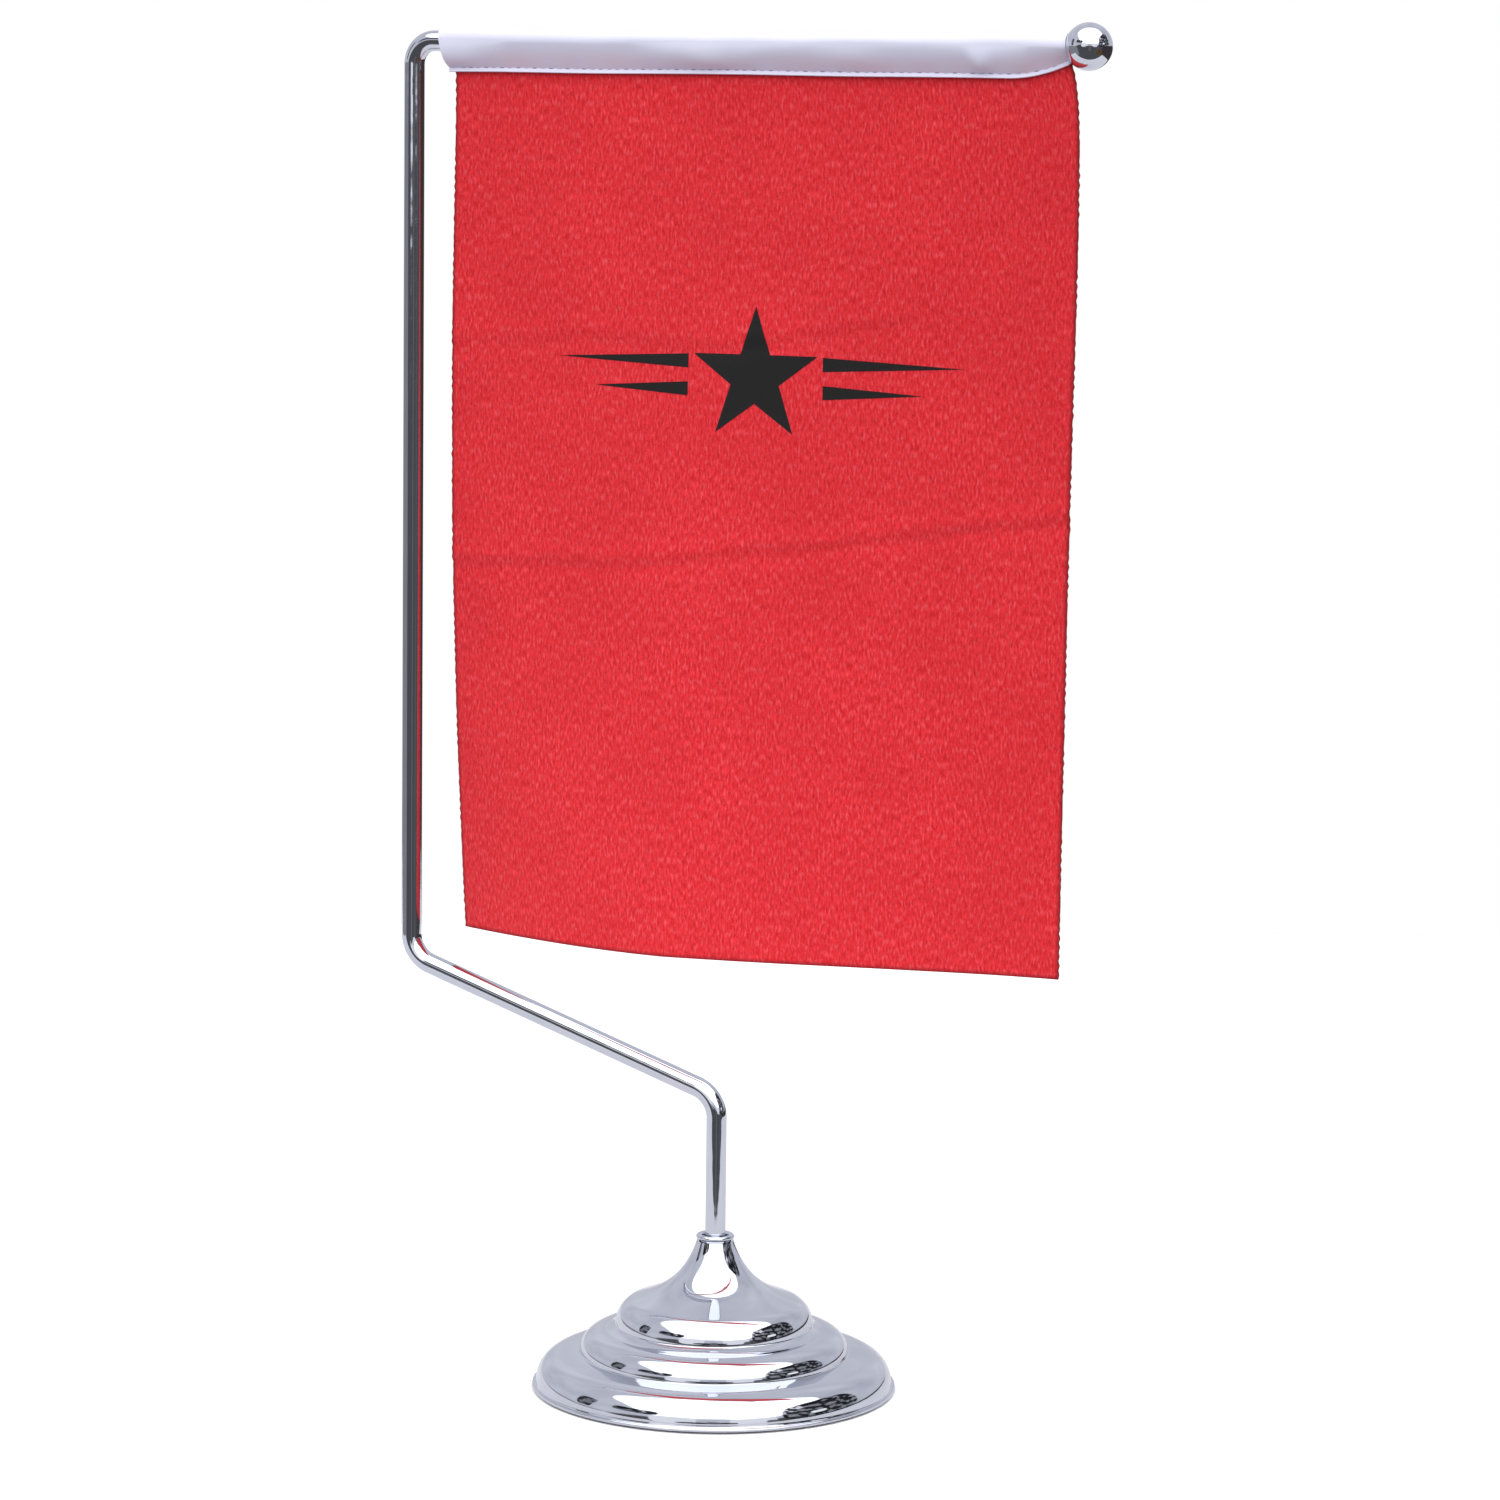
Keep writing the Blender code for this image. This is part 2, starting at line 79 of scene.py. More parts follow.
def link_finish(tree, shader, colour, relief, gloss=None):
    """Feed a shader with the nodes that make its colour, its relief and, where it varies, its gloss."""
    tree.links.new(colour.outputs[2], shader.inputs["Base Color"])
    tree.links.new(relief.outputs["Normal"], shader.inputs["Normal"])
    if gloss:
        tree.links.new(gloss.outputs["Result"], shader.inputs["Roughness"])


def arc(centre, semi_r, semi_z, start, end, count, power=1.0):
    """Points along an elliptical arc, its angles in degrees from outwards towards up; a power below
    one squares its shoulder."""
    angles = [math.radians(start + (end - start) * i / count) for i in range(count + 1)]
    points = []
    for angle in angles:
        out, up = (math.copysign(abs(v) ** power, v) for v in (math.cos(angle), math.sin(angle)))
        points.append((centre[0] + semi_r * out, centre[1] + semi_z * up))
    return points


def smooth_curve(guides, t):
    """The point at t, from 0 to 1, of a curve from the first to the last of four guide points."""
    weights = ((1 - t) ** 3, 3 * (1 - t) ** 2 * t, 3 * (1 - t) * t * t, t ** 3)
    return tuple(sum(w * g[k] for w, g in zip(weights, guides)) for k in (0, 1))


# Points of one form that are nearer to each other than this are made one.
MERGE_REACH = 0.002 * MM


def spun(profile, facets, centre=(0, 0, 0), axis=(0, 0, 1)):
    """Spin a profile of (radius, height) points, or of (x, z) points about another axis."""
    form = bmesh.new()
    verts = [form.verts.new((out, 0, up)) for out, up in profile]
    edges = [form.edges.new(pair) for pair in zip(verts, verts[1:])]
    bmesh.ops.spin(form, geom=verts + edges, cent=centre, axis=axis, angle=2 * math.pi,
                   steps=facets, use_merge=True)
    bmesh.ops.remove_doubles(form, verts=form.verts, dist=MERGE_REACH)
    return form


def face_outwards(form, inside):
    """Recalculate the normals, and turn them all if they point at a place inside or behind the piece."""
    bmesh.ops.recalc_face_normals(form, faces=form.faces)
    inside = Vector(inside)
    outward = sum((f.calc_center_median() - inside).dot(f.normal) * f.calc_area() for f in form.faces)
    if outward < 0:
        bmesh.ops.reverse_faces(form, faces=form.faces)


def piece_from(form, name, material, body, replaced=(), sharp=40, wall=0.0, wall_offset=-1.0):
    """Turn a form into a piece that rides on a body.

    Edges that turn by more than sharp degrees stay crisp. A wall gives an open form thickness,
    inwards, or both ways where its offset is 0.
    """
    for face in form.faces:
        face.smooth = True
    for edge in form.edges:
        if edge.is_boundary or edge.calc_face_angle() > math.radians(sharp):
            edge.smooth = False
    mesh = bpy.data.meshes.new(name)
    form.to_mesh(mesh)
    form.free()
    mesh.materials.append(material)
    piece = bpy.data.objects.new(name, mesh)
    bpy.context.scene.collection.objects.link(piece)
    if wall:
        thickness = piece.modifiers.new("wall", "SOLIDIFY")
        thickness.thickness = wall
        thickness.offset = wall_offset
    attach(piece, body)
    if replaced:
        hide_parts(*replaced)
    return piece


def chrome_plate():
    """Bright chromium over nickel on buffed steel: a slightly blue mirror with a faint haze.

    Broad buffing waves bend the reflections; a finer cloud varies the gloss.
    """
    material, tree, shader = finish_of("bright_chrome_plate", Metallic=1.0)
    place = add_node(tree, "ShaderNodeTexCoord").outputs["Object"]
    # Buffing waves about 9 mm long, and a haze of 1.5 mm clouds.
    waves = add_node(tree, "ShaderNodeTexNoise", {"Vector": place, "Scale": 1 / (9 * MM), "Detail": 1.5})
    haze = add_node(tree, "ShaderNodeTexNoise", {"Vector": place, "Scale": 1 / (1.5 * MM), "Detail": 3.0})
    tint = add_node(tree, "ShaderNodeMix", {
        0: waves.outputs["Fac"], 6: linear("C3C8D2"), 7: linear("D2D4DB")}, data_type="RGBA")
    gloss = add_node(tree, "ShaderNodeMapRange", {
        "Value": haze.outputs["Fac"], "From Min": 0.3, "From Max": 0.7, "To Min": 0.03, "To Max": 0.075})
    relief = add_node(tree, "ShaderNodeBump", {
        "Height": waves.outputs["Fac"], "Strength": 1.0, "Distance": 0.08 * MM})
    link_finish(tree, shader, tint, relief, gloss)
    return material


CHROME = chrome_plate()
SHELL_WALL = 0.6 * MM
shell_low, shell_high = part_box("base_shell")
BASE_RADIUS = shell_high.x
NECK_TOP = shell_high.z
NECK_RADIUS = 4.1 * MM
RIM_WIDTH = 0.7 * MM
RIM_TOP = 1.1 * MM
RIM_ROUND = 0.25 * MM
RIM_POINTS = 5
# Each step, from the rim inwards: how far its foot is set back from the one before, the height that
# its rounded edge springs from, the edge's width and rise, and the angles between which it is cut.
STEPS = (
    (RIM_WIDTH, 0.2 * MM, 7.6 * MM, 7.5 * MM, (82, 6)),
    (9.6 * MM, 7.2 * MM, 7.1 * MM, 6.0 * MM, (84, 5)),
    (7.9 * MM, 13.2 * MM, 8.2 * MM, 7.4 * MM, (58, 5)),
)
STEP_POINTS = 30
SHOULDER = 0.8
# The flare leaves the neck steeply and runs out flat: the shares of its width and height at which
# it is pulled down, and how far before the top step, and above it, it is pulled level.
FLARE_PULL = (0.217, 0.75)
FLARE_RUN_OUT = (4.4 * MM, 1.7 * MM)
FLARE_POINTS = 44
SHELL_FACETS = 160
CORNER_TURN = math.radians(35)
CORNER_EASE = 0.15 * MM


def shell_profile():
    """The shell's outer line of (radius, height) points, from the neck down to the rim."""
    edges = []
    radius = BASE_RADIUS
    for set_back, spring, width, rise, (start, end) in STEPS:
        radius -= set_back
        edges.append(arc((radius - width, spring), width, rise, start, end, STEP_POINTS, SHOULDER))
    top_r, top_z = edges[-1][0]
    guides = (
        (NECK_RADIUS, NECK_TOP),
        (NECK_RADIUS + (top_r - NECK_RADIUS) * FLARE_PULL[0], NECK_TOP - (NECK_TOP - top_z) * FLARE_PULL[1]),
        (top_r - FLARE_RUN_OUT[0], top_z + FLARE_RUN_OUT[1]),
        (top_r, top_z),
    )
    line = [smooth_curve(guides, i / FLARE_POINTS) for i in range(FLARE_POINTS)]
    for edge in reversed(edges):
        line += edge
    rim_foot = (BASE_RADIUS - RIM_WIDTH + RIM_ROUND, RIM_TOP + RIM_ROUND)
    line += arc(rim_foot, RIM_ROUND, RIM_ROUND, 180, 270, RIM_POINTS)
    line += arc((BASE_RADIUS - RIM_ROUND, RIM_TOP - RIM_ROUND), RIM_ROUND, RIM_ROUND, 90, 0, RIM_POINTS)
    line.append((BASE_RADIUS, shell_low.z))
    return line


shell = spun(shell_profile(), SHELL_FACETS)
corners = [e for e in shell.edges if len(e.link_faces) == 2 and e.calc_face_angle() > CORNER_TURN]
bmesh.ops.bevel(shell, geom=corners, offset=CORNER_EASE, segments=3, profile=0.5, affect="EDGES", material=-1)
face_outwards(shell, (0, 0, 5 * MM))
piece_from(shell, "chromed_base_shell", CHROME, "base", ["base_shell"], wall=SHELL_WALL)


# Ballast: a disc of grey iron, sand cast and left black, that fills the shell from below.
# The carried-over solid keeps its shape; only its skin is made here.
def cast_iron():
    """Grey cast iron with a black bitumen dip: matt, with the pits of the sand mould."""
    material, tree, shader = finish_of("black_cast_iron", Metallic=0.4)
    place = add_node(tree, "ShaderNodeTexCoord").outputs["Object"]
    # Moulding sand leaves grains about 0.4 mm across.
    sand = add_node(tree, "ShaderNodeTexNoise", {"Vector": place, "Scale": 1 / (0.4 * MM), "Detail": 4.0})
    rust = add_node(tree, "ShaderNodeTexNoise", {"Vector": place, "Scale": 1 / (6 * MM), "Detail": 4.0})
    tone = add_node(tree, "ShaderNodeMix", {
        0: rust.outputs["Fac"], 6: linear("2A2A2B"), 7: linear("46403C")}, data_type="RGBA")
    gloss = add_node(tree, "ShaderNodeMapRange", {"Value": sand.outputs["Fac"], "To Min": 0.6, "To Max": 0.9})
    relief = add_node(tree, "ShaderNodeBump", {
        "Height": sand.outputs["Fac"], "Strength": 0.8, "Distance": 0.15 * MM})
    link_finish(tree, shader, tone, relief, gloss)
    return material


def dress(node, material):
    """Give a carried-over solid its finish."""
    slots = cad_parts[node].data.materials
    slots.clear()
    slots.append(material)


dress("base_weight", cast_iron())


# Socket: a drawn tube with a closed floor. Its rolled lip sits on the neck as a small bright ring,
# and its threaded foot takes the nut that clamps shell and ballast together.
socket_low, socket_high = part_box("socket_tube")
SOCKET_INNER = 2.9 * MM
SOCKET_OUTER = 3.3 * MM
SOCKET_FLOOR = 1.7 * MM
LIP_HEIGHT = 1.2 * MM
LIP_POINTS = 26
TURNED_FACETS = 96
lip_foot = socket_high.z - LIP_HEIGHT
lip_half = (socket_high.x - SOCKET_INNER) / 2
lip_middle = (SOCKET_INNER + lip_half, lip_foot + LIP_HEIGHT / 2)
socket_line = [(0, socket_low.z + SOCKET_FLOOR), (SOCKET_INNER, socket_low.z + SOCKET_FLOOR)]
socket_line += arc(lip_middle, lip_half, LIP_HEIGHT / 2, 180, -90, LIP_POINTS)
socket_line += [(SOCKET_OUTER, lip_foot), (SOCKET_OUTER, socket_low.z), (0, socket_low.z)]
socket = spun(socket_line, TURNED_FACETS)
face_outwards(socket, ((SOCKET_INNER + SOCKET_OUTER) / 2, 0, lip_foot))
piece_from(socket, "socket_with_rolled_lip", CHROME, "base", ["socket_tube"])


# Clamp washer, lock washer and nut: bought-in steel hardware, drawn up under the ballast,
# and the pressed plate that closes the base. All are bright zinc plated.
def zinc_plate():
    """Bright zinc plate on pressed steel: cool grey with a patchy, slightly milky gloss."""
    material, tree, shader = finish_of("bright_zinc_plate", Metallic=1.0)
    place = add_node(tree, "ShaderNodeTexCoord").outputs["Object"]
    # Passivation clouds a few millimetres across, over rolling marks 0.3 mm apart.
    clouds = add_node(tree, "ShaderNodeTexNoise", {"Vector": place, "Scale": 1 / (4 * MM), "Detail": 3.0})
    stretch = add_node(tree, "ShaderNodeMapping", {
        "Vector": place, "Scale": (1 / (4 * MM), 1 / (0.3 * MM), 1 / (0.3 * MM))})
    rolled = add_node(tree, "ShaderNodeTexNoise", {
        "Vector": stretch.outputs["Vector"], "Scale": 1.0, "Detail": 2.0})
    tone = add_node(tree, "ShaderNodeMix", {
        0: clouds.outputs["Fac"], 6: linear("B4B8BE"), 7: linear("D0D0CB")}, data_type="RGBA")
    gloss = add_node(tree, "ShaderNodeMapRange", {
        "Value": clouds.outputs["Fac"], "To Min": 0.2, "To Max": 0.42})
    relief = add_node(tree, "ShaderNodeBump", {
        "Height": rolled.outputs["Fac"], "Strength": 0.5, "Distance": 0.02 * MM})
    link_finish(tree, shader, tone, relief, gloss)
    return material


ZINC = zinc_plate()
for node in ("clamp_washer", "lock_washer", "clamp_nut", "bottom_plate"):
    dress(node, ZINC)


# Foot pad: a disc of black wool felt, punched from sheet. It is glued under the closing plate, so that
# the base doesn't scratch a desk.
def felt():
    """Pressed wool felt: black, matt, with short crossed fibres that catch a little light."""
    material, tree, shader = finish_of(
        "black_wool_felt", Roughness=0.95, Sheen_Weight=0.35, Sheen_Roughness=0.5)
    place = add_node(tree, "ShaderNodeTexCoord").outputs["Object"]
    # Fibres about 0.15 mm thick and 2 mm long, laid two ways.
    heights = []
    thick, long, deep = 1 / (0.15 * MM), 1 / (2 * MM), 1 / (0.2 * MM)
    for scale in ((long, thick, deep), (thick, long, deep)):
        lay = add_node(tree, "ShaderNodeMapping", {"Vector": place, "Scale": scale, "Rotation": (0, 0, 0.4)})
        heights.append(add_node(tree, "ShaderNodeTexNoise", {
            "Vector": lay.outputs["Vector"], "Scale": 1.0, "Detail": 3.0}).outputs["Fac"])
    nap = add_node(tree, "ShaderNodeMath", {0: heights[0], 1: heights[1]}, operation="MULTIPLY")
    tone = add_node(tree, "ShaderNodeMix", {
        0: nap.outputs["Value"], 6: linear("0E0E10"), 7: linear("3A3A3E")}, data_type="RGBA")
    relief = add_node(tree, "ShaderNodeBump", {"Height": nap.outputs["Value"], "Distance": 0.2 * MM})
    link_finish(tree, shader, tone, relief)
    return material


dress("foot_pad", felt())


# Bush and foot plug: white nylon, turned. The bush lines the socket and the plug closes the pole's
# foot, so that the pole turns on nylon and the chrome isn't scored.
BAND_LENGTH = 2 * math.pi / 20  # how far apart a wave's bands are along one axis, at a scale of 1


def nylon():
    """Natural nylon: milky ivory with light passing a little way in, and fine turning marks."""
    material, tree, shader = finish_of(
        "natural_nylon", IOR=1.53, Subsurface_Weight=0.25, Subsurface_Scale=0.001,
        Subsurface_Radius=(1.0, 0.8, 0.6))
    place = add_node(tree, "ShaderNodeTexCoord").outputs["Object"]
    # The turning tool leaves fine rings up the length, drawn 0.94 mm apart so that they show.
    rings = add_node(tree, "ShaderNodeTexWave", {
        "Vector": place, "Scale": BAND_LENGTH / (0.942 * MM), "Distortion": 0.4}, bands_direction="Z")
    cloud = add_node(tree, "ShaderNodeTexNoise", {"Vector": place, "Scale": 1 / (3 * MM), "Detail": 2.0})
    tone = add_node(tree, "ShaderNodeMix", {
        0: cloud.outputs["Fac"], 6: linear("E6E2D4"), 7: linear("F2EFE6")}, data_type="RGBA")
    gloss = add_node(tree, "ShaderNodeMapRange", {
        "Value": cloud.outputs["Fac"], "To Min": 0.35, "To Max": 0.5})
    relief = add_node(tree, "ShaderNodeBump", {
        "Height": rings.outputs["Fac"], "Strength": 0.4, "Distance": 0.01 * MM})
    link_finish(tree, shader, tone, relief, gloss)
    return material


NYLON = nylon()
for node in ("pole_bush", "pole_foot_plug"):
    dress(node, NYLON)


# Pole: one length of thin steel tube, bent three times: out along the sloping arm, up, and back
# along the rod that carries the flag. Chrome plated after bending.
pole_low, pole_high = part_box("pole")
POLE_RADIUS = (pole_high.y - pole_low.y) / 2
POLE_WALL = 0.6 * MM
ROD_Z = pole_high.z - POLE_RADIUS
ARM_X = pole_low.x + POLE_RADIUS
ARM_LOW_Z = 65.3 * MM
ARM_HIGH_Z = 90.3 * MM
TUBE_FACETS = 64
BEND_STEPS = 20
# Each bend: its corner on the centre line, the next corner, and the bend's radius.
BENDS = (
    (Vector((0, 0, ARM_LOW_Z)), Vector((ARM_X, 0, ARM_HIGH_Z)), 7.0 * MM),
    (Vector((ARM_X, 0, ARM_HIGH_Z)), Vector((ARM_X, 0, ROD_Z)), 7.0 * MM),
    (Vector((ARM_X, 0, ROD_Z)), Vector((pole_high.x, 0, ROD_Z)), 5.0 * MM),
)


def drawn_on(form, ring, step):
    """Extrude an open ring of edges by one step, and return the new ring."""
    made = bmesh.ops.extrude_edge_only(form, edges=ring)["geom"]
    bmesh.ops.translate(form, verts=[g for g in made if isinstance(g, bmesh.types.BMVert)], vec=step)
    return [g for g in made if isinstance(g, bmesh.types.BMEdge) and g.is_boundary]


def bent_tube(start, bends, end, radius):
    """A tube from start to end with its bends spun round their own centres."""
    form = bmesh.new()
    bmesh.ops.create_circle(form, segments=TUBE_FACETS, radius=radius, matrix=Matrix.Translation(start))
    ring = list(form.edges)
    here = Vector(start)
    for corner, onward, bend_radius in bends:
        back = (here - corner).normalized()
        ahead = (onward - corner).normalized()
        between = back.angle(ahead)
        setback = bend_radius / math.tan(between / 2)
        ring = drawn_on(form, ring, corner + back * setback - here)
        centre = corner + (back + ahead).normalized() * (bend_radius / math.sin(between / 2))
        turned = bmesh.ops.spin(form, geom=ring, cent=centre, axis=ahead.cross(back), dvec=(0, 0, 0),
                                angle=math.pi - between, steps=BEND_STEPS, use_merge=False)["geom_last"]
        ring = [g for g in turned if isinstance(g, bmesh.types.BMEdge)]
        here = corner + ahead * setback
    drawn_on(form, ring, Vector(end) - here)
    bmesh.ops.remove_doubles(form, verts=form.verts, dist=MERGE_REACH)
    return form


pole = bent_tube((0, 0, pole_low.z), BENDS, (pole_high.x, 0, ROD_Z), POLE_RADIUS)
face_outwards(pole, (0, 0, 30 * MM))
piece_from(pole, "bent_chrome_pole", CHROME, "pole", ["pole"], wall=POLE_WALL)


# Rod insert: a turned brass sleeve pressed into the rod's open end, tapped for the ball's stud.
# The stud itself is plated steel, screwed hard into the ball.
def brass():
    """Free-cutting brass: warm yellow with turning rings and a little tarnish."""
    material, tree, shader = finish_of("turned_brass", Metallic=1.0)
    place = add_node(tree, "ShaderNodeTexCoord").outputs["Object"]
    # Fine turning rings along the rod, drawn 1.26 mm apart so that they show.
    rings = add_node(tree, "ShaderNodeTexWave", {
        "Vector": place, "Scale": BAND_LENGTH / (1.257 * MM), "Distortion": 0.6}, bands_direction="X")
    tarnish = add_node(tree, "ShaderNodeTexNoise", {"Vector": place, "Scale": 1 / (2 * MM), "Detail": 3.0})
    tone = add_node(tree, "ShaderNodeMix", {
        0: tarnish.outputs["Fac"], 6: linear("A8813F"), 7: linear("D9B566")}, data_type="RGBA")
    gloss = add_node(tree, "ShaderNodeMapRange", {
        "Value": tarnish.outputs["Fac"], "To Min": 0.22, "To Max": 0.4})
    relief = add_node(tree, "ShaderNodeBump", {
        "Height": rings.outputs["Fac"], "Strength": 0.5, "Distance": 0.01 * MM})
    link_finish(tree, shader, tone, relief, gloss)
    return material


dress("rod_insert", brass())
dress("finial_stud", ZINC)


# Finial ball: a turned steel ball with a flat seat and a blind tapped hole, chrome plated.
# It screws on the rod's end and keeps the flag from sliding off.
ball_low, ball_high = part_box("finial_ball")
stud_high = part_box("finial_stud")[1]
BALL_RADIUS = (ball_high.z - ball_low.z) / 2
BALL_X = ball_high.x - BALL_RADIUS
BALL_HOLE = 1.15 * MM
HOLE_PAST_STUD = 0.3 * MM
BALL_POINTS = 56
seat_angle = math.degrees(math.acos((ball_low.x - BALL_X) / BALL_RADIUS))
ball_line = arc((BALL_X, ROD_Z), BALL_RADIUS, BALL_RADIUS, 0, seat_angle, BALL_POINTS)
hole_end = stud_high.x + HOLE_PAST_STUD
ball_line += [(ball_low.x, ROD_Z + BALL_HOLE), (hole_end, ROD_Z + BALL_HOLE), (hole_end, ROD_Z)]
ball = spun(ball_line, TURNED_FACETS, centre=(0, 0, ROD_Z), axis=(1, 0, 0))
face_outwards(ball, ((hole_end + ball_high.x) / 2, 0, ROD_Z))
piece_from(ball, "chromed_finial_ball", CHROME, "finial", ["finial_ball"])


# Flag cloth: one piece of red brushed polyester, hot cut, hanging from inside the sleeve.
# It swells forward low down, left of its middle, and its right edge slants in.
panel_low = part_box("flag_panel")[0]
CLOTH_THICKNESS = 0.4 * MM
CLOTH_FLAT = (0.146, 0.194)
CLOTH_COLUMNS = 146
CLOTH_ROWS = 194
SEAM_Z = 287.0 * MM
CLOTH_TOP = 290.0 * MM
CLOTH_BOTTOM = panel_low.z
cloth_drop = SEAM_Z - CLOTH_BOTTOM
# One unit of a sheet's own map is this much of it.
MAP_UNIT = 0.2
# The left edge bows out, and reaches its own line again past the bottom by this share of the drop.
LEFT_EDGE = -64.9 * MM
LEFT_BOW = 8.06 * MM
LEFT_BOW_END = 1.15
# The right edge slants in. Under the seam the left corner stands out and the right one is gathered in,
# and each dies away down the cloth at its own rate.
RIGHT_EDGE = 80.25 * MM
RIGHT_SLANT = 4.0 * MM
LEFT_CORNER = (0.5 * MM, 25)
RIGHT_CORNER = (2.5 * MM, 26)
RIGHT_CORNER_START = 0.018
# Each storage crease: how deep it is, then where it crosses the cloth, as (share across, height) points.
CREASES = (
    (0.22 * MM, ((0.0, 179.5 * MM), (0.34, 182.0 * MM), (0.62, 187.5 * MM), (1.0, 195.5 * MM))),
    (0.12 * MM, ((0.0, 227.5 * MM), (0.22, 230.8 * MM), (0.45, 229.2 * MM), (0.75, 236.0 * MM))),
)
CREASE_WIDTH = 1.5 * MM
CREASE_WANDER = 0.8 * MM
# The swell: its depth at the hem, how it grows down the cloth, and the share of it that balances
# behind the rod. A skew below one puts it left of the middle, and it eases off towards the right.
BELLY = 14.5 * MM
BELLY_GROWTH = 1.2
BELLY_BALANCE = 0.544
BELLY_SKEW = 0.91
EASE_FROM = 0.39
EASE_SHARE = 0.77
# Slow and quick waves: their length across and down the cloth, their depth, and their own place in
# the noise. They grow to full depth in the first sixth of the drop.
WAVES = ((45 * MM, 85 * MM, 0.9 * MM, 3.1), (18 * MM, 30 * MM, 0.22 * MM, 7.7))
WAVES_GROWTH = 6
# The hot knife leaves small teeth along the edge, which also wanders a little.
TOOTH_PITCH = 2.1 * MM
TOOTH_DEPTH = 0.13 * MM
CUT_WANDER = 0.12 * MM
EDGE_MELT = 0.9


def cloth_edges(z):
    """Where the cloth's left and right cut edges are at a height."""
    fallen = (SEAM_Z - z) / cloth_drop
    down = min(max(fallen, 0.0), 1.0)
    flare, flare_rate = LEFT_CORNER
    gather, gather_rate = RIGHT_CORNER
    left = LEFT_EDGE - LEFT_BOW * down * (LEFT_BOW_END - down) - flare * math.exp(-down * flare_rate)
    right = RIGHT_EDGE - RIGHT_SLANT * down
    right -= gather * math.exp(-max(fallen + RIGHT_CORNER_START, 0.0) * gather_rate)
    return left, right


def crease_lift(across, z):
    """How far the storage creases lift the cloth at a place."""
    lift = 0.0
    for depth, run in CREASES:
        if across > run[-1][0]:
            continue
        for (a0, z0), (a1, z1) in zip(run, run[1:]):
            if a0 <= across <= a1:
                middle = z0 + (z1 - z0) * (across - a0) / (a1 - a0)
                middle += CREASE_WANDER * noise.noise(Vector((across * 9, depth / MM * 9, 0)))
                away = (z - middle) / CREASE_WIDTH
                lift += depth * away * math.exp(0.5 - away * away / 2)
                break
    return lift


def cloth_depth(x, z):
    """How far back the middle of the cloth lies at a place; forward is negative."""
    left, right = cloth_edges(z)
    across = min(max((x - left) / (right - left), 0.0), 1.0)
    down = min(max((SEAM_Z - z) / cloth_drop, 0.0), 1.0)
    fade = 1.0 - EASE_SHARE * max(across - EASE_FROM, 0.0) / (1 - EASE_FROM)
    swell = fade * math.sin(math.pi * across ** BELLY_SKEW)
    depth = BELLY * down ** BELLY_GROWTH * (BELLY_BALANCE - swell)
    free = min(down * WAVES_GROWTH, 1.0)
    for wave_across, wave_down, deep, place in WAVES:
        depth += free * deep * noise.noise(Vector((x / wave_across, z / wave_down, place)))
    return depth - crease_lift(across, z)


def cut_wander(z, side):
    """How far the hot knife's edge strays from its line."""
    tooth = math.sin(2 * math.pi * z / TOOTH_PITCH + 2 * noise.noise(Vector((side, 0, z / (6 * MM)))))
    return TOOTH_DEPTH * tooth + CUT_WANDER * noise.noise(Vector((side * 3, 5, z / (2 * MM))))


